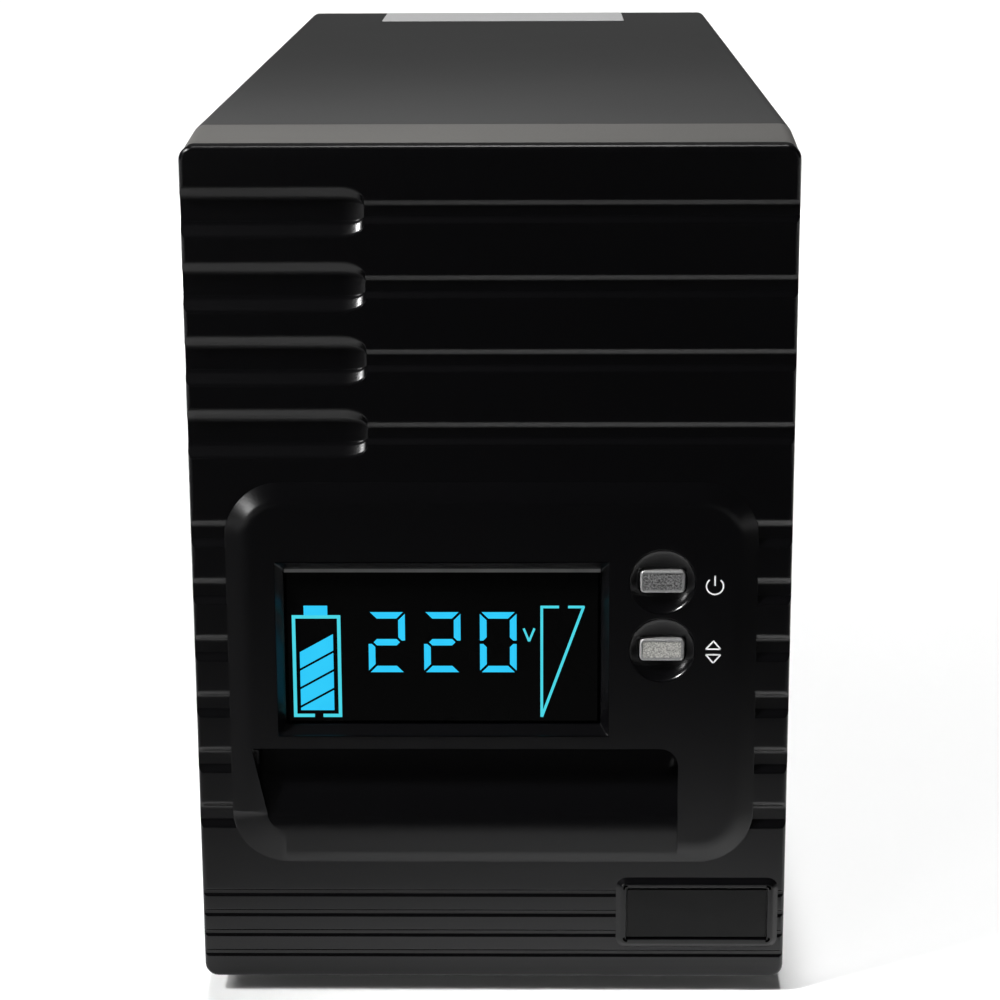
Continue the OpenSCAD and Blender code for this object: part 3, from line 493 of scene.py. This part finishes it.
pick("EDGE", lambda a, b: max(a.y, b.y) < 0.1 - BADGE_RISE)
bevel(0.35, 3)
done_editing()

# %% [markdown]
# The cover slides off forwards. Six tongues guide it along the inside of the bezel, and four hollow posts
# carry the display board. They only overlap the cover's back and are joined to it without a cut: nobody sees
# the seam, and the mesh of the face stays clean.

# %% Tongues and posts behind the cover
TONGUE_IN, TONGUE_T, TONGUE_W, TONGUE_ROOT, TONGUE_TIP = 3.4, 1.6, 16.0, 3.0, 17.2
TOP_TONGUE_X = 40.0
POST_X, POST_Z = (-54.2, 52.0), (65.5, 107.0)
POST_R, POST_WALL, POST_LENGTH, POST_MID, BORE = 3.0, 1.7, 8.0, 6.0, 6.0
behind = []


def tongue(x, z, wide, high):
    piece = block("tongue", (x - wide / 2, TONGUE_ROOT, z - high / 2),
                  (x + wide / 2, TONGUE_TIP, z + high / 2))
    pick("EDGE", lambda a, b: min(a.y, b.y) > TONGUE_TIP - 0.1)
    bevel(0.6, 2)
    done_editing()
    behind.append(piece)


for side in (-1, 1):
    for z in (0.2 * FACE_H, 0.8 * FACE_H):
        tongue(side * (FACE_W / 2 - TONGUE_IN), z, TONGUE_T, TONGUE_W)
    tongue(side * TOP_TONGUE_X, FACE_H - TONGUE_IN, TONGUE_W, TONGUE_T)
for x in POST_X:
    for z in POST_Z:
        clear_hands()
        bpy.ops.mesh.primitive_cylinder_add(vertices=32, radius=POST_R, depth=POST_LENGTH,
                                            location=(x, POST_MID, z), rotation=(math.radians(90), 0, 0))
        post = apply_place(bpy.context.object)
        pick("FACE", lambda c, n: n.y > 0.9)
        bpy.ops.mesh.inset(thickness=POST_WALL)
        extrude(0, -BORE, 0)
        done_editing()
        behind.append(post)
front = join("front_moulding", [plate, panel, badge] + behind)
soften(front, 20)
set_down(front, "front", ["front_cover"])

# %% [markdown]
# The badge plate is left bare: a thin plate with its front edges broken. It is a piece of its own, since its
# finish differs from that of the frame around it.

# %% Badge plate
PLATE_W, PLATE_H, PLATE_FRONT, PLATE_BACK = 33.1, 12.2, -0.6, 0.2
plate_bare = block("badge_plate_bare", (BADGE_X - PLATE_W / 2, PLATE_FRONT, BADGE_Z - PLATE_H / 2),
                   (BADGE_X + PLATE_W / 2, PLATE_BACK, BADGE_Z + PLATE_H / 2))
pick("EDGE", lambda a, b: max(a.y, b.y) < PLATE_FRONT + 0.1)
bevel(0.25, 2)
done_editing()
soften(plate_bare)
set_down(plate_bare, "front", ["badge_plate"])

# %% [markdown]
# A button is a cap with a smooth rim and a stippled field, a flange that holds it behind the panel, and a
# stem for the switch. Cap and field are modelled once and copied to both places, since the two buttons are
# alike. The field is a piece of its own, so that it can take another paint than the rim.

# %% Buttons
CAP_FRONT, CAP_BACK, CAP_R, FIELD_IN = 0.1 - PANEL_RISE, 3.0, 1.0, 0.7
FLANGE_OUT, FLANGE_FRONT, FLANGE_BACK, FLANGE_R = 1.0, 2.5, 3.7, 2.2
STEM_R, STEM_FRONT, STEM_BACK = 1.7, 2.5, 5.8
cap = block("cap", (BUTTON_X - CAP_W / 2, CAP_FRONT, -CAP_H / 2), (BUTTON_X + CAP_W / 2, CAP_BACK, CAP_H / 2))
pick("EDGE", lambda a, b: abs(a.y - b.y) > 1)
bevel(CAP_R, 5)
pick("EDGE", lambda a, b: max(a.y, b.y) < CAP_FRONT + 0.01)
bevel(0.25, 3)
pick("FACE", lambda c, n: n.y < -0.9)
bpy.ops.mesh.inset(thickness=FIELD_IN - 0.35)
bpy.ops.mesh.inset(thickness=0.1)
push(0, 0.15, 0)
done_editing()
flange_x, flange_z = CAP_W / 2 + FLANGE_OUT, CAP_H / 2 + FLANGE_OUT
flange = block("flange", (BUTTON_X - flange_x, FLANGE_FRONT, -flange_z),
               (BUTTON_X + flange_x, FLANGE_BACK, flange_z))
pick("EDGE", lambda a, b: abs(a.y - b.y) > 1)
bevel(FLANGE_R, 4)
done_editing()
field_x, field_z = CAP_W / 2 - FIELD_IN, CAP_H / 2 - FIELD_IN
field = block("field", (BUTTON_X - field_x, CAP_FRONT + 0.08, -field_z),
              (BUTTON_X + field_x, CAP_FRONT + 0.4, field_z))
pick("EDGE", lambda a, b: abs(a.y - b.y) > 0.1)
bevel(0.4, 3)
pick("EDGE", lambda a, b: max(a.y, b.y) < CAP_FRONT + 0.1)
bevel(0.05, 2)
done_editing()
clear_hands()
bpy.ops.mesh.primitive_cylinder_add(vertices=32, radius=STEM_R, depth=STEM_BACK - STEM_FRONT,
                                    location=(BUTTON_X, (STEM_FRONT + STEM_BACK) / 2, 0),
                                    rotation=(math.radians(90), 0, 0))
stem = apply_place(bpy.context.object)
pick("EDGE", lambda a, b: min(a.y, b.y) > STEM_BACK - 0.1)
bevel(0.3, 2)
done_editing()
cap = join("cap", [cap, flange, stem])
for shape in (cap, field):
    soften(shape)
for key, z in zip(("power", "select"), BUTTON_Z):
    for shape, stands_for in ((cap, [f"{key}_button"]), (field, [])):
        twin = copy_to(shape, z=z)
        twin.name = f"{key}_button_{shape.name}"
        set_down(twin, f"{key}_key", stands_for)
for shape in (cap, field):
    bpy.data.objects.remove(shape)

# %% [markdown]
# The display window is a pane that fills the back of the pocket. Its front edge is chamfered. A thin prism
# on the upper chamfer takes a pale finish of its own: a painted highlight, the thin bright line that light
# draws along that edge.

# %% Display window
CHAMFER_IN, CHAMFER_BACK, PANE_GAP, PANE_BACK, HIGHLIGHT_T = 0.6, 0.8, 0.15, 3.7, 0.05
pane_left, pane_right = LCD_X - LCD_W / 2 + PANE_GAP, LCD_X + LCD_W / 2 - PANE_GAP
pane_low, pane_top = LCD_Z - LCD_H / 2 + PANE_GAP, LCD_Z + LCD_H / 2 - PANE_GAP
pane = block("display_pane", (pane_left, LENS + CHAMFER_BACK, pane_low), (pane_right, PANE_BACK, pane_top))
pick("FACE", lambda c, n: n.y < -0.9)
extrude(0, -CHAMFER_BACK, 0)
shrink = (1 - 2 * CHAMFER_IN / LCD_W, 1, 1 - 2 * CHAMFER_IN / LCD_H)
bpy.ops.transform.resize(value=shrink, center_override=(LCD_X, 0, LCD_Z))
done_editing()
set_down(pane, "front", ["display_window"])
# The strip on the upper chamfer carries the painted highlight along that edge.
highlight_front, highlight_back = LENS - HIGHLIGHT_T, LENS + CHAMFER_BACK - HIGHLIGHT_T
highlight_strip = [(highlight_front, pane_top - CHAMFER_IN), (highlight_back, pane_top), (highlight_back, pane_top - CHAMFER_IN)]
pane_edge = prism("pane_edge", highlight_strip, lambda y, z: (pane_left, y, z), (pane_right - pane_left, 0, 0))
done_editing()
set_down(pane_edge, "front")

# %% [markdown]
# The display shows lit shapes behind its window. Each is a flake: a flat outline pulled a few hundredths of
# a millimetre out of the glass. Lines are flakes with four corners, and a digit is up to seven flakes. A
# picture on the glass would be less work, but flakes stay sharp at any distance.

# %% Flakes, lines and digits
FLAKE_T = 0.05


def flake(corners, level):
    piece = prism("flake", corners, lambda x, z: (x, level, z), (0, -FLAKE_T, 0))
    done_editing()
    return piece


def line_flake(a, b, width, level):
    ax, az = a
    bx, bz = b
    length = math.hypot(bx - ax, bz - az)
    sx, sz = -(bz - az) / length * width / 2, (bx - ax) / length * width / 2
    return flake([(ax + sx, az + sz), (bx + sx, bz + sz), (bx - sx, bz - sz), (ax - sx, az - sz)], level)


def digit(lit, x, z, level, w=8.5, h=14.6, t=1.55, gap=0.42):
    """Seven segments a to g of a digit whose lower left corner is at x, z."""
    mid = h / 2
    upright = [(w, h - gap), (w, mid + gap), (w - t / 2, mid + gap), (w - t, mid + t / 2 + gap),
               (w - t, h - t - gap)]
    segments = {
        "a": [(gap, h), (w - gap, h), (w - t - gap, h - t), (t + gap, h - t)],
        "b": upright,
        "c": [(p, h - q) for p, q in upright],
        "d": [(gap, 0), (t + gap, t), (w - t - gap, t), (w - gap, 0)],
        "e": [(w - p, h - q) for p, q in upright],
        "f": [(w - p, q) for p, q in upright],
        "g": [(t / 2 + gap, mid), (t + gap, mid + t / 2), (w - t - gap, mid + t / 2),
              (w - t / 2 - gap, mid), (w - t - gap, mid - t / 2), (t + gap, mid - t / 2)],
    }
    return [flake([(x + p, z + q) for p, q in segments[name]], level) for name in lit]


# %% [markdown]
# The charge bars and the pole of the battery sign and the three digits are filled shapes in bright blue. The
# bars lean, and the lowest one ends flat on the foot of the sign. All of them light up as one piece.

# %% Filled shapes of the display
POLE_LEFT, POLE_RIGHT, POLE_LOW, POLE_HIGH = -43.6, -38.1, 90.2, 92.7
BAR_N, BAR_LEFT, BAR_RIGHT, BAR_FOOT, BAR_TOP = 4, -44.7, -36.9, 67.2, 81.4
BAR_LEAN, BAR_PITCH, BAR_GAP = 4.4, 4.55, 0.6
DIGIT_Z = 76.55
pole = [(POLE_LEFT, POLE_LOW), (POLE_RIGHT, POLE_LOW), (POLE_RIGHT, POLE_HIGH), (POLE_LEFT, POLE_HIGH)]
fills = [flake(pole, LENS)]
for i in range(BAR_N):
    top = BAR_TOP - BAR_PITCH * i
    low = top - BAR_PITCH + BAR_GAP
    left_low, right_low = (low, low + BAR_LEAN) if low > BAR_FOOT else (BAR_FOOT, BAR_FOOT)
    corners = [(BAR_LEFT, top), (BAR_LEFT, left_low), (BAR_RIGHT, right_low), (BAR_RIGHT, top + BAR_LEAN)]
    fills.append(flake(corners, LENS))
for lit, x in (("abged", -28.65), ("abged", -15.75), ("abcdef", -2.75)):
    fills += digit(lit, x, DIGIT_Z, LENS)
display_fills = join("display_fills", fills)
set_down(display_fills, "front")

# %% [markdown]
# The outline of the battery sign, the load wedge and the unit letter are thin lines in a slightly greener
# blue, so they are a second piece. Each line is given by its two ends, which is easier to change than a
# drawn outline. The foot of the battery and the top of the wedge are broken lines.

# %% Lines of the display
BATTERY_LEFT, BATTERY_RIGHT, BATTERY_LOW, BATTERY_HIGH, BATTERY_LINE = -46.0, -35.5, 65.9, 90.0, 0.8
FOOT_BREAK = (-41.5, -39.5)
WEDGE_LEFT, WEDGE_RIGHT, WEDGE_LOW, WEDGE_HIGH, WEDGE_LINE = 11.6, 21.3, 65.6, 92.4, 0.62
TOP_BREAK = (15.6, 17.7)
UNIT_X, UNIT_W, UNIT_LOW, UNIT_H, UNIT_LINE = 8.65, 2.5, 84.1, 3.1, 0.5
ends_low, ends_high = BATTERY_LOW - BATTERY_LINE / 2, BATTERY_HIGH + BATTERY_LINE / 2
battery = [((BATTERY_LEFT, ends_low), (BATTERY_LEFT, ends_high)),
           ((BATTERY_RIGHT, ends_low), (BATTERY_RIGHT, ends_high)),
           ((BATTERY_LEFT, BATTERY_HIGH), (BATTERY_RIGHT, BATTERY_HIGH)),
           ((BATTERY_LEFT, BATTERY_LOW), (FOOT_BREAK[0], BATTERY_LOW)),
           ((FOOT_BREAK[1], BATTERY_LOW), (BATTERY_RIGHT, BATTERY_LOW))]
wedge = [((WEDGE_LEFT, WEDGE_LOW), (WEDGE_LEFT, WEDGE_HIGH + 0.2)),
         ((WEDGE_LEFT - 0.3, WEDGE_HIGH), (TOP_BREAK[0], WEDGE_HIGH)),
         ((TOP_BREAK[1], WEDGE_HIGH), (WEDGE_RIGHT + 0.2, WEDGE_HIGH)),
         ((WEDGE_RIGHT, WEDGE_HIGH + 0.1), (WEDGE_LEFT, WEDGE_LOW))]
unit = [((UNIT_X + side * UNIT_W / 2, UNIT_LOW + UNIT_H), (UNIT_X, UNIT_LOW)) for side in (-1, 1)]
strokes = []
for lines, width in ((battery, BATTERY_LINE), (wedge, WEDGE_LINE), (unit, UNIT_LINE)):
    strokes += [line_flake(a, b, width, LENS) for a, b in lines]
display_lines = join("display_lines", strokes)
set_down(display_lines, "front")

# %% [markdown]
# The signs beside the buttons are printed: a broken ring with a bar for power, and two small triangles for
# up and down. They are flakes like the shapes of the display, on the face of the panel.

# %% Printed signs
def ring_flake(x, z, radius, width, start, end, level, steps=28):
    turns = [math.radians(start + (end - start) * i / steps) for i in range(steps + 1)]
    outer = [(x + (radius + width / 2) * math.cos(a), z + (radius + width / 2) * math.sin(a)) for a in turns]
    inner = [(x + (radius - width / 2) * math.cos(a), z + (radius - width / 2) * math.sin(a)) for a in turns]
    return flake(outer + inner[::-1], level)


INK, SIGN_Y = 0.36, -PANEL_RISE
RING_X, RING_Z, RING_R, RING_FROM, RING_TO = 51.4, 98.1, 1.95, 130, 410
STROKE_LOW, STROKE_HIGH = 98.2, 100.6
ARROW_X, ARROW_W = 51.25, 3.4
signs = [ring_flake(RING_X, RING_Z, RING_R, INK, RING_FROM, RING_TO, SIGN_Y),
         line_flake((RING_X, STROKE_LOW), (RING_X, STROKE_HIGH), INK, SIGN_Y)]
for tip, base in ((84.9, 82.95), (79.6, 81.6)):
    a, b, c = (ARROW_X, tip), (ARROW_X - ARROW_W / 2, base), (ARROW_X + ARROW_W / 2, base)
    signs += [line_flake(p, q, INK, SIGN_Y) for p, q in ((a, b), (b, c), (c, a))]
printed_signs = join("printed_signs", signs)
set_down(printed_signs, "front")

# %% [markdown]
# Every outside screw is a pan head with a cross recess. One head is turned from a cylinder, its top edge is
# rounded and a cross is cut in, then copies are set in their places. Each is turned a little further than
# the last, because no two screws stop at the same angle.

# %% Screw heads
def pan_head(radius, height):
    clear_hands()
    bpy.ops.mesh.primitive_cylinder_add(vertices=40, radius=radius, depth=height, location=(0, 0, height / 2))
    head = apply_place(bpy.context.object)
    pick("EDGE", lambda a, b: a.z > height - 0.01 and b.z > height - 0.01)
    bevel(0.6 * height, 5)
    done_editing()
    long, thin = 0.62 * radius, 0.11 * radius
    for turn_by in (0, 90):
        slot_tool = block("slot_tool", (-long, -thin, 0.35 * height), (long, thin, 2 * height))
        pick("FACE", lambda c, n: n.z < -0.9)
        bpy.ops.transform.resize(value=(0.55, 0.8, 1))
        done_editing()
        slot_tool.data.transform(Matrix.Rotation(math.radians(turn_by), 4, "Z"))
        cut(head, slot_tool)
    return head


def place_heads(name, head, spots, axis):
    """Copies of a head at these spots, looking along an axis, each turned a little further."""
    copies = []
    for i, spot in enumerate(spots):
        twin = copy_to(head)
        look = Vector(axis(spot)).to_track_quat("Z", "Y").to_matrix().to_4x4()
        twin.data.transform(Matrix.Translation(spot) @ look @ Matrix.Rotation(0.7 * i + 0.3, 4, "Z"))
        copies.append(twin)
    bpy.data.objects.remove(head)
    heads = join(name, copies)
    soften(heads, 35)
    return heads


def sideways(spot):
    return (math.copysign(1, spot[0]), 0, 0)


def backwards(spot):
    return (0, 1, 0)


REAR, GUARD_T, HEAD_H = BODY_D - 1, 1.6, 1.6
COVER_SCREW_Y, COVER_SCREW_Z = (60, 204, 340), 8
FAN_X, FAN_Z, FAN_HOLE = 22, 150, 35.75
PORT_X, PORT_Z, PORT_HOLE = -42, 112, 20
cover_spots = [(side * CASE_W / 2, y, COVER_SCREW_Z) for side in (-1, 1) for y in COVER_SCREW_Y]
fan_spots = [(FAN_X + sx * FAN_HOLE, REAR + GUARD_T, FAN_Z + sz * FAN_HOLE)
             for sx in (-1, 1) for sz in (-1, 1)]
port_spots = [(PORT_X + side * PORT_HOLE, REAR, PORT_Z) for side in (-1, 1)]
for kind, radius, spots, axis in (("cover", 3.0, cover_spots, sideways), ("fan", 3.5, fan_spots, backwards),
                                  ("port", 3.0, port_spots, backwards)):
    heads = place_heads(f"{kind}_screw_heads", pan_head(radius, HEAD_H), spots, axis)
    set_down(heads, "case", [f"{kind}_screws"])

# %% [markdown]
# At the rear edge of the top lies a pale label. It stays bare: a film of a tenth of a millimetre with round
# corners. As a thin box it keeps an edge of its own, which a patch of colour on the steel would not.

# %% Label on the top
LABEL_LEFT, LABEL_RIGHT, LABEL_FRONT, LABEL_BACK = -42.8, 40.0, 336.0, BODY_D - 0.6
LABEL_T, LABEL_R = 0.1, 1.5
label = block("top_label", (LABEL_LEFT, LABEL_FRONT, BODY_H), (LABEL_RIGHT, LABEL_BACK, BODY_H + LABEL_T))
pick("EDGE", lambda a, b: abs(a.z - b.z) > LABEL_T / 2)
bevel(LABEL_R, 4)
done_editing()
soften(label)
set_down(label, "case")

# %% [markdown]
# A finish is a Principled shader whose values come from noise in Object coordinates, so it needs no unwrapped
# mesh and no picture. A small class wraps a socket so that shader maths reads as plain arithmetic, and one
# method adds any other node.

# %% Shader helpers
class Wire:
    """An output socket. Arithmetic on it adds Math nodes."""

    def __init__(self, finish, socket):
        self.finish, self.socket = finish, socket

    def maths(self, operation, first, second):
        return self.finish.node("ShaderNodeMath", {"operation": operation}, {0: first, 1: second})

    def __add__(self, other):
        return self.maths("ADD", self, other)

    def __radd__(self, other):
        return self.maths("ADD", other, self)

    def __sub__(self, other):
        return self.maths("SUBTRACT", self, other)

    def __rmul__(self, other):
        return self.maths("MULTIPLY", other, self)


class Finish:
    """A material with one Principled shader; constants go straight onto its sockets."""

    def __init__(self, name, **constants):
        self.material = bpy.data.materials.new(name)
        self.material.use_nodes = True
        self.tree = self.material.node_tree
        self.shader = self.tree.nodes["Principled BSDF"]
        for socket, value in constants.items():
            self.shader.inputs[socket.replace("_", " ")].default_value = value
        self.place = self.node("ShaderNodeTexCoord", {}, {}, "Object")

    def node(self, kind, settings, sockets, output=0):
        made = self.tree.nodes.new(kind)
        for name, value in settings.items():
            setattr(made, name, value)
        for name, value in sockets.items():
            if isinstance(value, Wire):
                self.tree.links.new(value.socket, made.inputs[name])
            else:
                made.inputs[name].default_value = value
        return Wire(self, made.outputs[output])

    def noise(self, size, detail=2.0, stretch=(1, 1, 1)):
        """Noise whose lumps are about this many millimetres across."""
        place = self.node("ShaderNodeMapping", {}, {"Vector": self.place, "Scale": stretch})
        sockets = {"Vector": place, "Scale": 1 / (size * MM), "Detail": detail}
        return self.node("ShaderNodeTexNoise", {}, sockets)

    def between(self, share, dark, light):
        """A colour from dark to light by a share from 0 to 1."""
        sockets = {0: share, 6: (*dark, 1), 7: (*light, 1)}
        return self.node("ShaderNodeMix", {"data_type": "RGBA"}, sockets, 2)

    def feed(self, socket, wire):
        self.tree.links.new(wire.socket, self.shader.inputs[socket])

    def bump(self, height, depth):
        """Raises the surface by a height from 0 to 1, up to this many millimetres."""
        sockets = {"Height": height, "Distance": depth * MM, "Strength": 1.0}
        self.feed("Normal", self.node("ShaderNodeBump", {}, sockets))


def grey(value):
    return (value, value, value)


# %% [markdown]
# Moulded plastic carries a spark texture from its mould: small even pits that break the gloss. Paint on
# steel has a flatter grain, and rubber is dusty and coarse. All drift slightly in tone over the piece. One
# function for each kind keeps the pieces of one kind alike, and only their colours and gloss differ.

# %% Plastics, paint and rubber
def moulded(name, dark, light, roughness, pit=0.35, depth=0.02, specular=0.5):
    f = Finish(name, Specular_IOR_Level=specular)
    pits, drift = f.noise(pit, 3), f.noise(28)
    f.feed("Base Color", f.between(0.6 * pits + 0.4 * drift, dark, light))
    f.feed("Roughness", roughness + 0.12 * (pits - 0.5))
    f.bump(pits, depth)
    return f.material


def powder_coat(name, dark, light, roughness, specular=0.5):
    f = Finish(name, Specular_IOR_Level=specular)
    grain, drift = f.noise(0.5, 2), f.noise(60)
    f.feed("Base Color", f.between(0.5 * grain + 0.5 * drift, dark, light))
    f.feed("Roughness", roughness + 0.1 * (drift - 0.5))
    f.bump(grain, 0.012)
    return f.material


def rubbery(name, dark, light):
    f = Finish(name, Specular_IOR_Level=0.3)
    dust, grain = f.noise(6), f.noise(0.8, 4)
    f.feed("Base Color", f.between(dust, dark, light))
    f.feed("Roughness", 0.75 + 0.2 * (grain - 0.5))
    f.bump(grain, 0.05)
    return f.material


front_black = moulded("front_black_abs", (0.0009, 0.0009, 0.0011), (0.0014, 0.0013, 0.0017), 0.2,
                      depth=0.01, specular=0.3)
# The bezel band is partly its own grey and partly painted sheen: its base is lighter to stand for the light
# that its grazing top strip mirrors.
bezel_grey_and_sheen = moulded("bezel_abs_and_painted_sheen", (0.062, 0.06, 0.057), (0.082, 0.08, 0.076), 0.5, pit=0.5, depth=0.03)
case_paint = powder_coat("case_paint", grey(0.028), grey(0.037), 0.72, specular=0.15)
inner_plastic = moulded("inner_black", grey(0.012), grey(0.02), 0.45)
battery_plastic = moulded("battery_plastic", grey(0.05), grey(0.08), 0.5, pit=0.8)
foot_rubber = rubbery("foot_rubber", grey(0.008), grey(0.016))
foam_rubber = rubbery("foam_rubber", grey(0.03), grey(0.06))
cable_black = rubbery("cable_black", grey(0.01), grey(0.016))
cable_red = rubbery("cable_red", (0.22, 0.012, 0.01), (0.32, 0.02, 0.016))

# %% [markdown]
# Metals have a fine grain that changes their gloss from place to place. On extruded, laminated and brushed
# pieces the noise is stretched, so the grain becomes lines, as the tool leaves them.

# %% Metals
def metal(name, dark, light, roughness, stretch=(1, 1, 1), scratch=0.6):
    f = Finish(name, Metallic=1.0)
    lines, drift = f.noise(scratch, 3, stretch), f.noise(9)
    f.feed("Base Color", f.between(0.5 * lines + 0.5 * drift, dark, light))
    f.feed("Roughness", roughness + 0.25 * (lines - 0.5))
    f.bump(lines, 0.006)
    return f.material


zinc = metal("zinc_plate", (0.42, 0.43, 0.45), (0.6, 0.6, 0.58), 0.34)
dark_screw = metal("black_screw", grey(0.05), grey(0.1), 0.36)
bright_wire = metal("bright_wire", grey(0.6), grey(0.74), 0.18)
port_shell = metal("port_shell", grey(0.5), grey(0.62), 0.28)
brass = metal("brass", (0.5, 0.36, 0.13), (0.66, 0.5, 0.22), 0.3)
tinned = metal("tinned_tab", (0.52, 0.5, 0.45), (0.68, 0.66, 0.6), 0.3)
sink_metal = metal("extruded_aluminium", grey(0.5), grey(0.64), 0.35, (8, 0.4, 8))
core_iron = metal("core_laminations", grey(0.1), grey(0.2), 0.5, (0.3, 40, 0.3), 1.2)
badge_metal = metal("badge_satin", grey(0.012), grey(0.02), 0.42, (0.3, 1, 12), 0.5)

# %% [markdown]
# The buttons wear a silver paint with visible flakes. The field of the lower button takes a paler copy of
# the same paint: a painted highlight, as that field catches more light. The window is smoked acrylic with a
# deep gloss. The lit shapes glow with their own colour, a little weaker at places, as a backlight does; they
# need no lamp behind the glass. The printed signs and the label are thin films, and so is the pale strip on
# the window's upper chamfer, a painted highlight.

# %% Paint flakes, window, lit shapes and films
def silver_paint(name, dark, light, depth):
    f = Finish(name, Metallic=0.55, Specular_IOR_Level=0.5)
    flakes = f.noise(0.4, 2)
    f.feed("Base Color", f.between(3 * flakes - 1, dark, light))
    f.feed("Roughness", 0.4 + 0.2 * (flakes - 0.5))
    f.bump(flakes, depth)
    return f.material


silver = silver_paint("silver_rim", grey(0.3), grey(0.4), 0.004)
stippled = silver_paint("silver_field", grey(0.05), grey(0.34), 0.08)
# The lower field is a paler copy of the same silver: a painted highlight.
stippled_painted_highlight = silver_paint("silver_field_painted_highlight", (0.3, 0.3, 0.28), (0.75, 0.74, 0.7), 0.05)

acrylic = Finish("smoked_acrylic", Specular_IOR_Level=0.06)
smoke = acrylic.noise(30)
acrylic.feed("Base Color", acrylic.between(smoke, grey(0.0012), grey(0.002)))
acrylic.feed("Roughness", 0.06 + 0.04 * smoke)


def lit(name, dim, bright):
    f = Finish(name, Emission_Strength=1.0, Specular_IOR_Level=0.0, Base_Color=(0, 0, 0, 1), Roughness=0.6)
    f.feed("Emission Color", f.between(f.noise(7), dim, bright))
    return f.material


def film(name, dark, light, roughness):
    f = Finish(name, Specular_IOR_Level=0.4)
    f.feed("Base Color", f.between(f.noise(3, 4), dark, light))
    f.feed("Roughness", roughness + 0.1 * (f.noise(0.4) - 0.5))
    return f.material


lit_blue = lit("lit_blue", (0.026, 0.55, 0.93), (0.036, 0.65, 1.0))
lit_green_blue = lit("lit_outline", (0.06, 0.62, 0.74), (0.09, 0.75, 0.86))
sign_ink = film("sign_ink", grey(0.86), grey(0.92), 0.5)
# A pale finish for the strip on the window's upper chamfer: a painted highlight, the bright line along that
# edge.
pale_strip_highlight = film("pale_edge_painted_highlight", grey(0.4), grey(0.5), 0.6)
label_film = film("label_film", grey(0.5), grey(0.54), 0.45)

# %% [markdown]
# Inside the case there are green boards with a pattern of tracks, a taped coil and sleeved capacitors. They
# show only when the cover is off, so a brick pattern stands for the tracks and a wave for the turns of tape.

# %% Boards, coil and sleeves
board = Finish("circuit_board", Specular_IOR_Level=0.5, Roughness=0.35)
tracks = board.node("ShaderNodeTexBrick", {"offset": 0.37}, {
    "Vector": board.place, "Scale": 160.0, "Mortar Size": 0.06,
    "Color1": (0.012, 0.09, 0.03, 1), "Color2": (0.016, 0.12, 0.04, 1), "Mortar": (0.03, 0.2, 0.07, 1)})
board.feed("Base Color", tracks)

coil = Finish("taped_coil", Specular_IOR_Level=0.5)
turns = coil.node("ShaderNodeTexWave", {"bands_direction": "Z"},
                  {"Vector": coil.place, "Scale": 60.0, "Distortion": 0.6, "Detail": 2.0}, 1)
coil.feed("Base Color", coil.between(turns, (0.3, 0.15, 0.03), (0.5, 0.28, 0.07)))
coil.feed("Roughness", 0.4 + 0.15 * turns)
coil.bump(turns, 0.15)
sleeve = moulded("capacitor_sleeve", (0.01, 0.016, 0.035), (0.016, 0.025, 0.05), 0.25, pit=2.0, depth=0.01)

# %% [markdown]
# The floor is matt white paper with a trace of tone, so that it takes the soft shadow under the case. One
# table gives each piece its finish, so a piece that was forgotten is found by a look at what is left over.

# %% Floor paper and every piece's finish
paper = Finish("floor_paper", Specular_IOR_Level=0.1, Roughness=0.9)
paper.feed("Base Color", paper.between(paper.noise(120), grey(0.93), grey(0.95)))
floor.data.materials.append(paper.material)

dressed = {
    front_black: ["front_moulding"],
    badge_metal: ["badge_plate_bare"],
    silver: ["power_button_cap", "select_button_cap"],
    stippled: ["power_button_field"],
    stippled_painted_highlight: ["select_button_field"],
    lit_blue: ["display_fills"],
    lit_green_blue: ["display_lines"],
    sign_ink: ["printed_signs"],
    dark_screw: ["cover_screw_heads", "fan_screw_heads", "port_screw_heads", "bezel_screws"],
    label_film: ["top_label"],
    bezel_grey_and_sheen: ["bezel_frame"],
    acrylic.material: ["display_pane"],
    pale_strip_highlight: ["pane_edge"],
    case_paint: ["top_cover", "chassis", "battery_door"],
    foot_rubber: ["rubber_feet"],
    foam_rubber: ["battery_pad"],
    battery_plastic: ["battery_left", "battery_right"],
    cable_black: ["battery_link"],
    cable_red: ["battery_leads"],
    tinned: ["battery_terminals", "inlet_pins"],
    zinc: ["battery_cage", "transformer_brackets", "transformer_bolts", "door_screws", "board_screws",
           "display_board_screws", "breaker_nut"],
    board.material: ["main_board", "display_board", "port_board"],
    brass: ["board_standoffs", "port_posts"],
    sink_metal: ["heat_sinks"],
    core_iron: ["transformer_core"],
    coil.material: ["transformer_coil"],
    sleeve: ["capacitors"],
    bright_wire: ["fan_guard"],
    port_shell: ["data_port"],
    inner_plastic: ["display_module", "push_switches", "power_plunger", "select_plunger", "power_transistors",
                    "relays", "fan_frame", "fan_rotor", "mains_inlet", "breaker_body", "breaker_button",
                    "network_ports"] + [f"outlet_{i}" for i in range(1, 7)],
}
for material, names in dressed.items():
    for name in names:
        slots = bpy.data.objects[name].data.materials
        slots.clear()
        slots.append(material)
named = {name for names in dressed.values() for name in names}
print("pieces without a finish:", sorted(o.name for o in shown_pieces() if o.name not in named))
